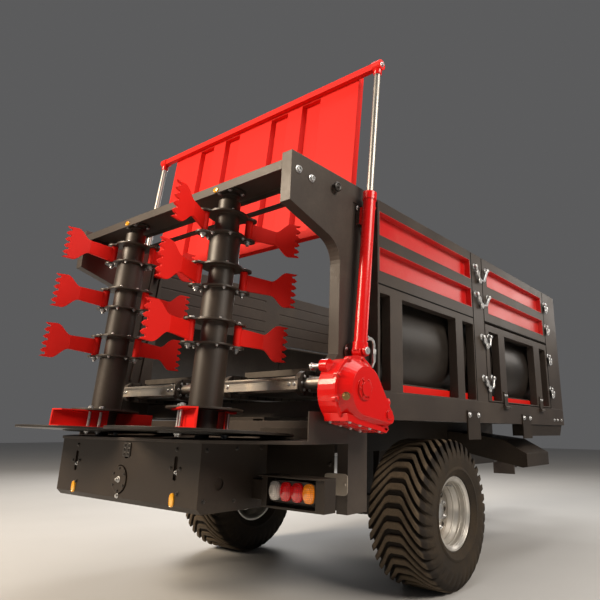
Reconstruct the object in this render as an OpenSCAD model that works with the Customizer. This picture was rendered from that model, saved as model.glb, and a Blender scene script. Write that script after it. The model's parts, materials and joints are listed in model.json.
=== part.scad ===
// Twin vertical-beater manure spreader, one axle, parked on its jack
// X is right, Y is forward and Z is up; sizes are set from the axle and the ground,
// and every piece is then moved so that the origin is the middle of the hitch eye.

/* [Wheels] */
// Outside diameter of the tyre over its lugs
tyre_d = 874; // [820:2:920]
// Width of the tyre over its sidewalls
tyre_w = 416; // [360:2:430]
// Diameter of the rim over its flanges
rim_d = 432; // [400:2:450]
// Width of the rim over its flanges
rim_w = 344; // [320:2:350]
// Distance between the middles of the two tyres
track = 1792; // [1760:2:1850]
// Height of a tread lug
lug_h = 20; // [12:1:26]
// Width of a tread lug along the tread
lug_w = 42; // [30:1:48]
// Number of chevron lugs round a tyre
lug_n = 38; // [30:1:40]
// Diameter of the wheel spindle
spindle_d = 80; // [60:2:100]

/* [Body] */
// Width over the side walls
body_w = 2228; // [2180:4:2300]
// Rear end of the side walls, behind the axle
body_rear = 890; // [860:5:900]
// Front end of the side walls, ahead of the axle
body_front = 2200; // [2150:10:2500]
// Top of the side walls above the ground
wall_top = 2215; // [2120:5:2220]
// Underside of the side sills above the ground
sill_z = 982; // [960:2:1000]
// Height of the side sills
sill_h = 144; // [120:2:160]
// Thickness of the side frames and boards
wall_t = 60; // [50:1:70]
// Height of the lower frames, from the sill to the seam
lower_h = 588; // [540:2:620]
// How far the barrel panels bulge outwards
panel_bulge = 75; // [40:1:90]
// Thickness of the barrel panels
panel_t = 5; // [3:0.5:8]
// Thickness of the floor
floor_t = 64; // [50:1:70]
// Depth of the red recesses in the upper boards
recess_d = 46; // [20:1:50]

/* [Rear frame] */
// Rear end of the arms, behind the axle
arm_rear = 1537; // [1530:1:1570]
// Top of the arms above the ground
arm_top = 2278; // [2240:2:2290]
// Outer face of an arm, in from the outside of the side walls
arm_inset = 70; // [64:1:78]
// Thickness of an arm
arm_t = 68; // [50:1:70]
// Height of an arm at its rear end
arm_end_h = 270; // [240:2:290]
// Radius of the round inner corner of an arm
arm_corner_r = 140; // [80:2:170]
// Width of the gear housing under the beaters
housing_w = 1298; // [1240:2:1310]

/* [Beaters] */
// Distance between the two beater shafts
beater_gap = 946; // [930:2:960]
// Beater shafts behind the axle
beater_y = 1500; // [1490:1:1510]
// Forward lean of the beaters in degrees
beater_lean = 2.7; // [2:0.1:2.8]
// Diameter of a beater tube
beater_d = 168; // [140:2:180]
// Length of a knife from its pin to its tips
knife_l = 318; // [290:2:320]
// Height of a knife's head over its outer teeth
knife_head_h = 205; // [180:1:215]
// Number of gaps between the teeth of a knife
tooth_n = 5; // [3:1:6]
// Thickness of a knife
knife_t = 12; // [8:1:16]
// Number of knife levels on a beater
knife_rows = 3; // [2:1:3]
// Distance between knife levels
knife_pitch = 305; // [290:1:320]
// Clear height between two flanges
flange_gap = 115; // [105:1:125]
// Diameter of a spreading disc
disc_d = 908; // [860:2:920]
// Length of a paddle on a spreading disc
paddle_l = 280; // [260:2:320]
// Height of a paddle
paddle_h = 98; // [80:1:110]
// Depth of a paddle over its flanges
paddle_d = 62; // [50:1:70]

/* [Gate] */
// Edge of the gate panel, in from the outer face of an arm
gate_inset = 82; // [79:1:114]
// Height of the gate panel
gate_h = 1080; // [1000:2:1100]
// Travel of the gate
gate_travel = 790; // [600:5:800]
// Lean of the gate and its cylinders, forward going up, in degrees
gate_lean = 5.3; // [4:0.1:6]
// Depth of the pressed grooves in the gate
groove_d = 32; // [20:1:36]
// Diameter of a lift cylinder barrel
barrel_d = 70; // [64:1:80]
// Diameter of a lift rod
rod_d = 40; // [30:1:44]

/* [Conveyor gearbox] */
// Radius of the casting round the worm wheel
gear_big_r = 160; // [140:1:164]
// Radius of the casting round the input end
gear_small_r = 58; // [45:1:60]
// Thickness of the casting up to its joint
gear_body_t = 110; // [90:1:120]
// Depth of the tapered cover outside the joint
gear_cover_t = 66; // [40:1:70]

/* [Drawbar] */
// Hitch eye ahead of the axle
eye_y = 3600; // [3400:10:3800]
// Middle of the hitch eye above the ground
eye_z = 520; // [480:5:560]
// Bore of the hitch eye
eye_bore = 51; // [41:1:52]
// Parking jack ahead of the axle
jack_y = 2860; // [2760:10:2940]
// Width of the square jack leg
jack_leg_w = 70; // [60:1:80]
// Travel of the jack leg
jack_travel = 320; // [200:10:340]

/* [Hidden] */
$fn = 48;

// Clearances
run_fit = 0.05;
slide_fit = 0.3;
pin_fit = 1;
bore_over = 3;
move_gap = 7;
seam_w = 5;
seam_d = 14;

// Wheels
tyre_r = tyre_d / 2;
rim_r = rim_d / 2;
wheel_x = track / 2;
axle_z = tyre_r;
axle_beam_w = 120;
bead_r = rim_r - 19;
well_r = rim_r - 56;
rim_t = 8;
wheel_disc_in = 28;
wheel_disc_out = wheel_disc_in + 12;
hub_r = 88;
hub_in = 96;
hand_hole_n = 8;
hand_hole_r = 17;
hub_out = 62;
spindle_r = spindle_d / 2;
spindle_end = 40;

// Body heights and places
half_w = body_w / 2;
frame_in = half_w - wall_t;
arm_x = half_w - arm_inset;
gate_w = 2 * (arm_x - gate_inset);
sill_top = sill_z + sill_h;
lower_top = sill_top + lower_h;
floor_top = sill_top + floor_t;
panel_in = half_w - 139;
rear_y = -body_rear;
mid_post_y = 319;
mid_post_l = 190;
front_post_l = 335;
front_post_y = body_front - front_post_l;
front_wall_t = 50;
front_wall_y = body_front - front_wall_t;
edging_t = 12;
deck_half = frame_in - edging_t - 6;

window_r = 8;
plank_n = 4;
plank_d = 5;

// Windows in the lower frames: start and end along Y
rear_windows = [[rear_y + 20, rear_y + 123], [rear_y + 248, 35], [136, mid_post_y - 14]];
door_y0 = mid_post_y + mid_post_l;
door_windows = [[door_y0 + 61, door_y0 + 241], [door_y0 + 356, front_post_y - 345],
    [front_post_y - 205, front_post_y - 45]];
window_head = 50;

// Red recesses in the upper boards: lower and upper edge
recess_z = [[lower_top + 76, lower_top + 216], [lower_top + 289, lower_top + 434]];
recess_end = 19;
recess_t = 3;

// Chassis
rail_x = 360;
rail_w = 100;
rail_h = 200;
rail_t = 10;
rail_z = sill_z - rail_h;
rail_rear = rear_y - 135;
mid_beam_y = 900;
front_beam_y = front_wall_y - 100;
sill_t = 10;
beam_z = sill_z + sill_t;
beam_h = 93;
beam_w = 80;
beam_n = 7;
draw_h = 160;
draw_z = rail_z - draw_h;
draw_rear = 1300;
draw_nose = eye_y - 250;
draw_leg = 100;
nose_t = 25;
eye_plate_w = 240;
eye_r = 66;
eye_h = 50;
drive_z = 815;
drive_r = 25;
drive_front = front_wall_y + 150;
coupling_r = 44;
coupling_l = 70;
stub_r = 17.5;
stub_l = 90;
step_y = 1180;
step_l = 503;
step_lap = 200;
step_toe = 40;
step_z = [sill_z - 60, 862, 755, 655, 648];
stay_z = 890;
stay_in = 110;
stay_front = [34, 100];
hanger_y = [140, step_y - 55];
hanger_w = 185;
hanger_t = 10;
hanger_z = [sill_z - 110, sill_z + 75];

// Conveyor
conv_y = rear_y - 240;
conv_front = 2050;
conv_r = 55;
chain_t = 20;
chain_w = 34;
chain_inset = 302;
chain_x = [240, half_w - chain_inset];
shaft_z = floor_top + chain_t / 2 + 1 - conv_r + 14;
shaft_r = 29;
sprocket_n = 8;
slat_w = 48;
slat_h = 34;
slat_t = 8;
slat_pitch = 260;
deck_front = conv_front - conv_r - 25;

// Rear frame
arm_in = arm_x - arm_t;
arm_end_z = arm_top - arm_end_h;
arm_slope = 17.7;
arm_nose = 30;
arm_step = 5;
band_top = arm_top - 110;
post_w = 159;
post_foot = 533;
post_in = rear_y - 250;
crease_y = rear_y - 145;
bearing_y = conv_y - 64;
bearing_z = [shaft_z - 150, shaft_z - 70, shaft_z + 80, shaft_z + 140];
stop_y = rear_y - 310;
stop_z = arm_top - 86;
stop_r = 24;
stop_l = 16;
deck_z = 862;
deck_t = 15;
deck_corner_y = -arm_rear + 149;
curtain_t = 8;
deck_lip_z = sill_z - rail_t;

// Top beam and the tie bar ahead of it
beam_drop = 38;
beam_top = arm_top - beam_drop;
beam_lip = 50;
beam_t = 8;
beam_depth = 237;
tie_y = -arm_rear + 300;
tie_z = beam_top - 78;
tie_w = 22;

// Gear housing
housing_y0 = -beater_y - 133;
housing_y1 = -beater_y + 282;
housing_z0 = 555;
housing_edge = 26;
cover_z = housing_z0 + 115;
cover_r = 66;
slot_x = 467;
slot_w = 28;
slot_z = [housing_z0 + 135, housing_z0 + 245];
recess_in = 12;

// Conveyor gearbox
gearbox_off = 18;
gear_x0 = arm_x + gearbox_off;
gear_split = gear_x0 + gear_body_t;
gear_rim = 11;
gear_rim_t = 12;
gear_big = [conv_y - 25, shaft_z - 52];
gear_small = [conv_y + 178, shaft_z - 175];
gear_taper = 40;
gear_boss = [conv_y - 50, shaft_z - 44];
gear_boss_r = 52;
gear_plug_r = 24;

// Tail lamps
lamp_x0 = housing_w / 2 + 78;
lamp_w = 395;
lamp_y = housing_y1 - 98;
lamp_depth = 80;
lamp_z = [570, 717];
lamp_wall = 10;
lamp_end = 52;
lamp_pitch = 66;
lamp_r = 31;
lamp_tall = 14;
lamp_n = 4;
hood_l = 24;

// Beaters
beater_x = beater_gap / 2;
beater_r = beater_d / 2;
disc_r = disc_d / 2;
disc_z = deck_z + deck_t + 28;
disc_t = 12;
tube_z0 = disc_z + disc_t;
bearing_r = 41;
bearing_h = 68;
bearing_z0 = beam_top - beam_t - 62;
tube_z1 = bearing_z0 - 8;
core_r = beater_r - 16;
collar_r = beater_r - 22;
clamp_r = 190;
clamp_t = 10;
clamp_z = tube_z0 + paddle_h;
row_top = 2016;
flange_r = beater_r + 28;
flange_t = 10;
lobe_r = 42;
knife_pin_r = 125;
sleeve_r = 21;
knife_bolt_r = 10;
knife_arm_h = 94;
knife_neck = 172;
knife_flare = 84;
knife_bend = -20;
tooth_h = 24;
gullet_r = 8;
drive_pin_r = 35;
drive_pin_l = 80;
top_pin_r = 30;
top_pin_l = 50;
paddle_off = 98;
paddle_back = 20;
paddle_t = 8;
paddle_bolts = [22, 80];
paddle_bolt_r = 9;
rim_ring_r = 210;

// Directions of the knife pins on the right and the left beater, in degrees
pin_turn = [65, 40];
// How far each knife has swung on its pin: by beater, row and side, in degrees
knife_swing = [[[8, 58], [8, 50], [20, 44]], [[52, 56], [52, 52], [56, 52]]];
// Directions of the paddles on the right and the left disc, in degrees
paddle_turn = [336, 241];

// Gate and lift cylinders
lift_x = arm_x + 72;
lift_y = rear_y - 164;
lift_z = floor_top + 125;
foot_r = 33;
foot_w = 52;
foot_pin_r = 17;
foot_pin_end = 45;
foot_plate_r = 50;
gland_l = 46;
gland_r = barrel_d / 2 + 5;
port_r = 13;
port_l = 20;
barrel_r = barrel_d / 2;
rod_r = rod_d / 2;
barrel_l = 913;
eye_up = 1830;
gate_t = 46;
gate_sheet = 6;
gate_rail = 52;
groove_x = [252, 555];
groove_w = 165;
groove_slope = 16;
gate_front = 12;
bar_h = 46;
bar_t = 34;
boss_r = 34;
boss_w = 60;
guide_t = 12;
guide_gap = 8;
guide_lap = 8;
gate_top = eye_up - 6;
gate_z0 = gate_top - gate_h;

// Drop doors
hinge_x = half_w + 17;
hinge_z = sill_top - 26;
hinge_r = 12;
hinge_pin_r = 7;
hinge_l = 60;
hinge_y = [door_y0 + 298, front_post_y - 275];
strap_t = 6;
door_top_gap = 14;
door_panel_gap = 42;

// Latches
latch_eye_r = 13;
latch_bar_r = 7;
latch_l = 78;

// Jack
jack_hand = -1;
jack_tube_t = 6;
jack_foot_t = 14;
jack_foot_w = 200;
jack_cap_t = 8;
jack_spare = 52;
jack_mount_t = 30;
jack_mount_w = 100;
crank_r = 9;
crank_reach = 150;
crank_drop = 30;
crank_grip_l = 89;
jack_leg_top = draw_z + draw_h / 4;
jack_top = jack_leg_top + jack_travel + jack_spare + jack_cap_t;

// Colours
dark = "#2c2826";
black = "#1a1a1b";
red = "#cf1a20";
zinc = "#b9bcc0";
chrome = "#d5d8dc";
rubber = "#3a332d";
lens = "#d63a22";

// Moves a piece from the axle and the ground to the hitch eye
module from_eye() { translate([0, -eye_y, -eye_z]) children(); }

// The right-hand shape on the right (1) or mirrored to the left (-1)
module on_side(s) {
    from_eye() if (s > 0) children(); else mirror([1, 0, 0]) children();
}

// A right-hand shape with its mirror image
module pair() {
    from_eye() { children(); mirror([1, 0, 0]) children(); }
}

// A block given by its lowest and highest corners
module block(lo, hi) { translate(lo) cube(hi - lo); }

// An outline of Y and Z values, extruded along X from x0 to x1
module plate_x(x0, x1) {
    translate([x0, 0, 0]) rotate([90, 0, 90]) linear_extrude(x1 - x0) children();
}

// An outline of X and Z values, extruded along Y from y0 to y1
module plate_y(y0, y1) {
    translate([0, y1, 0]) rotate([90, 0, 0]) linear_extrude(y1 - y0) children();
}

// A rod along Y
module rod_y(x, z, r, y0, y1) {
    translate([x, y0, z]) rotate([-90, 0, 0]) cylinder(r = r, h = y1 - y0);
}

// A rod along X
module rod_x(y, z, r, x0, x1) {
    translate([x0, y, z]) rotate([0, 90, 0]) cylinder(r = r, h = x1 - x0);
}

// Points of an arc round c, from angle a0 to a1 in n steps
function arc(c, r, a0, a1, n) = [for (i = [0 : n]) let (a = a0 + (a1 - a0) * i / n)
    c + r * [cos(a), sin(a)]];

// The same points in the opposite order
function back(p) = [for (i = [len(p) - 1 : -1 : 0]) p[i]];

// A rectangle with round corners, from its lowest to its highest corner
module round_rect(lo, hi, r) {
    translate([lo[0] + r, lo[1]]) square([hi[0] - lo[0] - 2 * r, hi[1] - lo[1]]);
    translate([lo[0], lo[1] + r]) square([hi[0] - lo[0], hi[1] - lo[1] - 2 * r]);
    for (u = [lo[0] + r, hi[0] - r]) for (v = [lo[1] + r, hi[1] - r])
        translate([u, v]) circle(r);
}

// The leaning frame of a beater, turned about its foot
module on_beater(s) {
    translate([s * beater_x, -beater_y, tube_z0]) rotate([-beater_lean, 0, 0]) translate([0, 0, -tube_z0])
        children();
}

// The leaning frame of the gate and its cylinders, with Z along the travel
module on_lean() {
    translate([0, lift_y, lift_z]) rotate([-gate_lean, 0, 0]) children();
}

// Rectangular tube along Y
module tube_y(x0, x1, z0, z1, y0, y1, t) {
    plate_y(y0, y1) difference() {
        translate([x0, z0]) square([x1 - x0, z1 - z0]);
        translate([x0 + t, z0 + t]) square([x1 - x0 - 2 * t, z1 - z0 - 2 * t]);
    }
}

// Chassis and drawbar
module chassis_rails() {
    color(dark) from_eye() {
        for (s = [-1, 1])
            tube_y(s * rail_x - rail_w / 2, s * rail_x + rail_w / 2, rail_z, beam_z,
                rail_rear, front_wall_y, rail_t);
        for (s = [-1, 1])
            block([s * rail_x - rail_w / 2, housing_y1, rail_z],
                [s * rail_x + rail_w / 2, rail_rear, deck_z]);
        for (y = [rail_rear, mid_beam_y, front_beam_y])
            difference() {
                block([-rail_x + rail_w / 2, y, rail_z], [rail_x - rail_w / 2, y + beam_w, beam_z]);
                rod_y(0, drive_z, drive_r + move_gap, y - 1, y + beam_w + 1);
            }
    }
}

module drawbar_plan() {
    polygon([[-rail_x - draw_leg / 2, draw_rear], [-rail_x - draw_leg / 2, front_wall_y],
        [-draw_leg / 2, draw_nose], [draw_leg / 2, draw_nose],
        [rail_x + draw_leg / 2, front_wall_y], [rail_x + draw_leg / 2, draw_rear]]);
}

module drawbar_gap() {
    in_x = rail_x - draw_leg / 2;
    in_nose = draw_nose - draw_leg * 3.4;
    polygon([[-in_x, draw_rear - 1], [-in_x, front_wall_y - 20], [-20, in_nose],
        [20, in_nose], [in_x, front_wall_y - 20], [in_x, draw_rear - 1]]);
}

module drawbar() {
    color(dark) from_eye() {
        translate([0, 0, draw_z]) linear_extrude(draw_h) difference() {
            drawbar_plan();
            drawbar_gap();
        }
        block([-eye_plate_w / 2 - 10, draw_nose, eye_z - 90],
            [eye_plate_w / 2 + 10, draw_nose + nose_t, draw_z + draw_h]);
    }
}

module hitch_eye() {
    plate_y0 = draw_nose + nose_t;
    neck_y = plate_y0 + nose_t;
    color(black) from_eye() {
        difference() {
            union() {
                block([-eye_plate_w / 2, plate_y0, eye_z - 85], [eye_plate_w / 2, neck_y, eye_z + 115]);
                translate([0, 0, eye_z - eye_h / 2]) linear_extrude(eye_h)
                    polygon([[-eye_r - 14, neck_y], [eye_r + 14, neck_y], [eye_r - 14, eye_y - 20],
                        [14 - eye_r, eye_y - 20]]);
                translate([0, eye_y, eye_z - eye_h / 2]) cylinder(r = eye_r, h = eye_h);
                for (x = [-30, 30])
                    plate_x(x - 6, x + 6) polygon([[neck_y, eye_z + eye_h / 2],
                        [neck_y + 110, eye_z + eye_h / 2],
                        [neck_y, eye_z + 100]]);
            }
            translate([0, eye_y, eye_z - eye_h]) cylinder(d = eye_bore, h = 2 * eye_h);
        }
    }
}

module jack_tube() {
    outer = jack_leg_w + 2 * slide_fit + 2 * jack_tube_t;
    inner = jack_leg_w + 2 * slide_fit;
    foot = draw_z - 60;
    x = jack_side();
    side = x + outer / 2;
    crank_z = jack_top - crank_drop;
    color(red) on_side(jack_hand) {
        difference() {
            block([x - outer / 2, jack_y - outer / 2, foot], [side, jack_y + outer / 2, jack_top]);
            block([x - inner / 2, jack_y - inner / 2, foot - bore_over],
                [x + inner / 2, jack_y + inner / 2, jack_top - jack_cap_t]);
        }
        block([x - outer / 2 - jack_mount_t, jack_y - jack_mount_w / 2, draw_z + 10],
            [x - outer / 2, jack_y + jack_mount_w / 2, draw_z + draw_h - 10]);
        translate([x, jack_y, jack_top]) cylinder(r = 26, h = 24);
        rod_x(jack_y, crank_z, crank_r, side, side + crank_reach);
        translate([side + crank_reach - crank_r, jack_y, crank_z + crank_r - crank_grip_l])
            cylinder(r = crank_r, h = crank_grip_l);
    }
}

// Middle of the jack, beside the drawbar leg at its height along the drawbar
function draw_edge(y) = draw_leg / 2 + rail_x * (draw_nose - y) / (draw_nose - front_wall_y);
function jack_side() =
    draw_edge(jack_y - jack_mount_w / 2) + jack_mount_t + jack_leg_w / 2 + slide_fit + jack_tube_t;

module jack_leg() {
    x = jack_side();
    color(zinc) on_side(jack_hand) {
        block([x - jack_leg_w / 2, jack_y - jack_leg_w / 2, jack_foot_t],
            [x + jack_leg_w / 2, jack_y + jack_leg_w / 2, jack_leg_top]);
        block([x - jack_foot_w / 2, jack_y - jack_foot_w / 2, 0],
            [x + jack_foot_w / 2, jack_y + jack_foot_w / 2, jack_foot_t]);
    }
}

module driveline() {
    cap_y = front_beam_y + beam_w;
    color(black) from_eye() {
        rod_y(0, drive_z, drive_r, housing_y1, drive_front);
        rod_y(0, drive_z, stub_r, drive_front, drive_front + stub_l);
        rod_y(0, drive_z, coupling_r, housing_y1, housing_y1 + coupling_l);
        rod_y(0, drive_z, coupling_r, cap_y, cap_y + 60);
        block([-90, cap_y, drive_z - 60], [90, cap_y + 20, drive_z + 60]);
        for (y = [-420, 420])
            rod_y(0, drive_z, coupling_r, y - coupling_l / 2, y + coupling_l / 2);
    }
}

module axle_beam() {
    half = axle_beam_w / 2;
    flange_x = wheel_x - hub_in - move_gap;
    color(dark) from_eye() {
        block([-flange_x + 25, -half, axle_z - half], [flange_x - 25, half, axle_z + half]);
        for (s = [-1, 1]) mirror([s < 0 ? 1 : 0, 0, 0]) {
            rod_x(0, axle_z, 95, flange_x - 25, flange_x);
            rod_x(0, axle_z, spindle_r, flange_x, wheel_x + spindle_end);
            for (y = [-150, 138])
                plate_x(rail_x - rail_w / 2, rail_x + rail_w / 2)
                    polygon([[y, rail_z], [y + 12, rail_z], [y < 0 ? -half : half + 12, axle_z - half],
                        [y < 0 ? -half - 12 : half, axle_z - half]]);
            block([rail_x - rail_w / 2, -half, axle_z + half], [rail_x + rail_w / 2, half, rail_z]);
        }
    }
}

module step_boxes() {
    color(dark) pair() {
        plate_y(step_y, step_y + step_l) polygon([[rail_x + rail_w / 2, rail_z],
            [rail_x + rail_w / 2, step_z[0]], [half_w - step_lap, step_z[1]],
            [half_w, step_z[2]], [half_w, step_z[3]], [half_w - step_toe, step_z[4]]]);
        plate_x(half_w - 150, half_w - 14)
            polygon([[step_y + stay_in, sill_z], [body_front - stay_front[0], sill_z],
                [body_front - stay_front[1], stay_z], [step_y + stay_in, stay_z]]);
        for (y = hanger_y)
            block([half_w, y, hanger_z[0]], [half_w + hanger_t, y + hanger_w, hanger_z[1]]);
    }
}

// Floor and conveyor
module floor_frame() {
    color(dark) from_eye()
        for (i = [0 : beam_n - 1])
            translate([0, rear_y + 20 + i * (front_wall_y - beam_w - rear_y - 40) / (beam_n - 1), 0])
                block([-half_w + sill_t, 0, beam_z], [half_w - sill_t, beam_w, beam_z + beam_h]);
}

module floor_deck() {
    color(dark) from_eye()
        union() {
            block([-deck_half, rear_y, sill_top], [deck_half, deck_front, floor_top]);
            block([-arm_in, rear_y - 150, sill_top], [arm_in, rear_y, floor_top]);
            for (s = [-1, 1])
                block([s > 0 ? arm_in : -deck_half, conv_front - 45, sill_top],
                    [s > 0 ? deck_half : -arm_in, conv_front + 45, floor_top + 16]);
        }
}

module floor_edging() {
    color(red) pair()
        block([frame_in - edging_t - 6, rear_y, sill_top], [frame_in - 6, front_post_y, sill_top + 54]);
}

module loop_outline(r) {
    translate([conv_y, shaft_z]) circle(r);
    translate([conv_front, shaft_z]) circle(r);
    translate([conv_y, shaft_z - r]) square([conv_front - conv_y, 2 * r]);
}

module sprocket(y) {
    for (x = chain_x) for (s = [-1, 1])
        plate_x(s * x - chain_w / 4, s * x + chain_w / 4) difference() {
            translate([y, shaft_z]) polygon([for (i = [0 : 2 * sprocket_n - 1])
                (i % 2 == 0 ? conv_r + 2 : conv_r - chain_t / 2) * [cos(180 * i / sprocket_n),
                    sin(180 * i / sprocket_n)]]);
            translate([y, shaft_z]) circle(shaft_r);
        }
}

module conveyor_chains() {
    chain_in = conv_r - chain_t / 2;
    chain_out = conv_r + chain_t / 2;
    slat_z = shaft_z + chain_out - slat_t;
    color(black) from_eye() {
        for (x = chain_x) for (s = [-1, 1])
            plate_x(s * x - chain_w / 2, s * x + chain_w / 2) difference() {
                loop_outline(chain_out);
                loop_outline(chain_in);
            }
        sprocket(conv_y);
        sprocket(conv_front);
        for (s = [-1, 1]) for (y = [conv_y + 90 : slat_pitch : conv_front - 60])
            plate_x(s > 0 ? chain_x[0] : -chain_x[1], s > 0 ? chain_x[1] : -chain_x[0])
                polygon([[y, slat_z], [y + slat_w, slat_z], [y + slat_w, slat_z + slat_t],
                    [y + slat_t, slat_z + slat_t],
                    [y + slat_t, slat_z + slat_h], [y, slat_z + slat_h]]);
    }
}

module conveyor_shaft() {
    color(chrome) from_eye() {
        rod_x(conv_y, shaft_z, shaft_r, -arm_x, arm_x + 4);
        rod_x(conv_front, shaft_z, shaft_r, -arm_in, arm_in);
    }
}

// Side walls

// A groove that shows the joint between two pieces of the outer face
module seam_notch(y, z0, z1) {
    block([half_w - seam_d, y - (y < door_y0 - seam_w ? 1 : 0), z0 - 1], [half_w + 1, y + seam_w, z1 + 1]);
}

module sill(s) {
    t = sill_t;
    flange = 120;
    color(dark) on_side(s) {
        plate_y(rear_y, body_front) polygon([[half_w, sill_z], [half_w, sill_top],
            [half_w - flange, sill_top],
            [half_w - flange, sill_top - t], [half_w - t, sill_top - t], [half_w - t, sill_z + t],
            [half_w - flange, sill_z + t], [half_w - flange, sill_z]]);
        for (y = hinge_y) for (e = [-1, 1])
            union() {
                rod_y(hinge_x, hinge_z, hinge_r, y + e * (hinge_l / 2 + 9) - 6,
                    y + e * (hinge_l / 2 + 9) + 6);
                block([half_w - t / 2, y + e * (hinge_l / 2 + 9) - 6, hinge_z - hinge_r],
                    [hinge_x, y + e * (hinge_l / 2 + 9) + 6, hinge_z + hinge_r]);
            }
        for (y = hinge_y)
            rod_y(hinge_x, hinge_z, hinge_pin_r, y - hinge_l / 2 - 9, y + hinge_l / 2 + 9);
    }
}

module front_wall() {
    color(dark) from_eye() {
        difference() {
            block([-deck_half, front_wall_y, sill_top], [deck_half, body_front - 12, wall_top]);
            for (x = [-760, -380, 0, 380, 760])
                block([x - 120, body_front - 30, floor_top + 60], [x + 120, body_front, wall_top - 120]);
        }
    }
}

module front_post(s) {
    color(dark) on_side(s)
        difference() {
            block([deck_half, front_post_y, sill_top], [half_w, body_front, wall_top]);
            seam_notch(front_post_y, sill_top, wall_top);
        }
}

module mid_post(s) {
    color(dark) on_side(s)
        difference() {
            block([frame_in, mid_post_y, sill_top], [half_w, door_y0, wall_top]);
            seam_notch(mid_post_y, sill_top, wall_top);
            seam_notch(door_y0 - seam_w, sill_top, wall_top);
        }
}

// A frame of the side wall with its windows
module window_frame(y0, y1, z0, z1, windows, sill_bar) {
    plate_x(frame_in, half_w) difference() {
        translate([y0, z0]) square([y1 - y0, z1 - z0]);
        for (w = windows)
            round_rect([w[0], z0 + sill_bar], [w[1], z1 - window_head], window_r);
    }
}

module rear_frame(s) {
    color(dark) on_side(s)
        window_frame(rear_y, mid_post_y, sill_top, lower_top, rear_windows, 6);
}

module door_frame(s) {
    y0 = door_y0 + move_gap;
    y1 = front_post_y - move_gap;
    color(dark) on_side(s) {
        window_frame(y0, y1, sill_top + move_gap, lower_top - door_top_gap, door_windows, 8);
        for (y = hinge_y)
            difference() {
                union() {
                    rod_y(hinge_x, hinge_z, hinge_r, y - hinge_l / 2, y + hinge_l / 2);
                    block([hinge_x - hinge_r, y - hinge_l / 2, hinge_z],
                        [hinge_x - hinge_r + strap_t, y + hinge_l / 2, sill_top + 90]);
                    block([half_w, y - hinge_l / 2, sill_top + 30],
                        [hinge_x - hinge_r, y + hinge_l / 2, sill_top + 90]);
                }
                rod_y(hinge_x, hinge_z, hinge_pin_r + run_fit, y - hinge_l, y + hinge_l);
            }
    }
}

// Bulging panel behind the windows
module barrel_panel(y0, y1, z0, z1) {
    half_h = (z1 - z0) / 2;
    r = (half_h * half_h + panel_bulge * panel_bulge) / (2 * panel_bulge);
    cx = panel_in + panel_bulge - r;
    intersection() {
        difference() {
            rod_y(cx, z0 + half_h, r, y0, y1, $fn = 240);
            rod_y(cx, z0 + half_h, r - panel_t, y0 - 1, y1 + 1, $fn = 240);
        }
        block([panel_in - 30, y0, z0], [half_w, y1, z1]);
    }
    block([panel_in - panel_t, y0, z1 - panel_t], [frame_in, y1, z1]);
}

module rear_panel(s) {
    color(black) on_side(s) barrel_panel(rear_y, door_y0 - move_gap, floor_top, lower_top);
}

module door_panel(s) {
    color(black) on_side(s)
        barrel_panel(door_y0 + move_gap, front_post_y - move_gap, floor_top + move_gap,
            lower_top - door_panel_gap);
}

// An upper board with its two pockets
module board(y0, y1, pocket_y0, pocket_y1, z0) {
    difference() {
        block([frame_in, y0, z0], [half_w, y1, wall_top]);
        for (z = recess_z)
            block([half_w - recess_d, pocket_y0, z[0]], [half_w + 1, pocket_y1, z[1]]);
        for (i = [1 : plank_n])
            translate([0, 0, z0 + i * (wall_top - z0) / (plank_n + 1)])
                block([frame_in - 1, y0 - 1, -plank_d], [frame_in + plank_d, y1 + 1, plank_d]);
    }
}

rear_pocket = [rear_y + recess_end, mid_post_y - recess_end];
front_pocket = [door_y0 + 81, front_post_y - recess_end - 31];

module rear_board(s) {
    color(dark) on_side(s)
        board(rear_y, mid_post_y, rear_pocket[0], rear_pocket[1], lower_top);
}

module front_board(s) {
    color(dark) on_side(s)
        board(door_y0, front_post_y, front_pocket[0], front_pocket[1], lower_top);
}

module recess(s) {
    color(red) on_side(s)
        for (p = [rear_pocket, front_pocket]) for (z = recess_z)
            difference() {
                block([half_w - recess_d, p[0], z[0]], [half_w, p[1], z[1]]);
                block([half_w - recess_d + recess_t, p[0] + recess_t, z[0] + recess_t],
                    [half_w + 1, p[1] - recess_t, z[1] - recess_t]);
            }
}

// Rear frame
module arm_outline() {
    corner_y = post_in - arm_corner_r;
    corner_z = arm_end_z - tan(arm_slope) * (corner_y + arm_rear) - arm_corner_r / cos(arm_slope);
    polygon(concat([[rear_y, post_foot], [rear_y, arm_top - arm_nose], [rear_y - arm_nose, arm_top],
        [-arm_rear, arm_top], [-arm_rear, arm_end_z]],
        arc([corner_y, corner_z], arm_corner_r, 90 - arm_slope, 0, 8),
        [[post_in, bearing_z[3]], [bearing_y, bearing_z[2]], [bearing_y, bearing_z[1]],
        [rear_y - post_w, bearing_z[0]], [rear_y - post_w, post_foot]]));
}

// An arm with its post, the stop boss and the two bars that guide the gate
module arm(s) {
    guide_z = [-60, gate_top - bar_h - gate_travel - 20];
    color(dark) on_side(s) {
        difference() {
            plate_x(arm_in, arm_x) arm_outline();
            rod_x(conv_y, shaft_z, shaft_r, arm_in - 1, arm_x + 1);
            block([arm_x - arm_step, crease_y, bearing_z[3]], [arm_x + 1, rear_y + 1, band_top]);
        }
        rod_x(stop_y, stop_z, stop_r, arm_x, arm_x + stop_l, $fn = 6);
        on_lean() for (y = [gate_front - guide_gap - guide_t, gate_front + gate_t + guide_gap])
            block([gate_w / 2 - guide_lap, y, guide_z[0]], [arm_in, y + guide_t, guide_z[1]]);
    }
}

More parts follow.
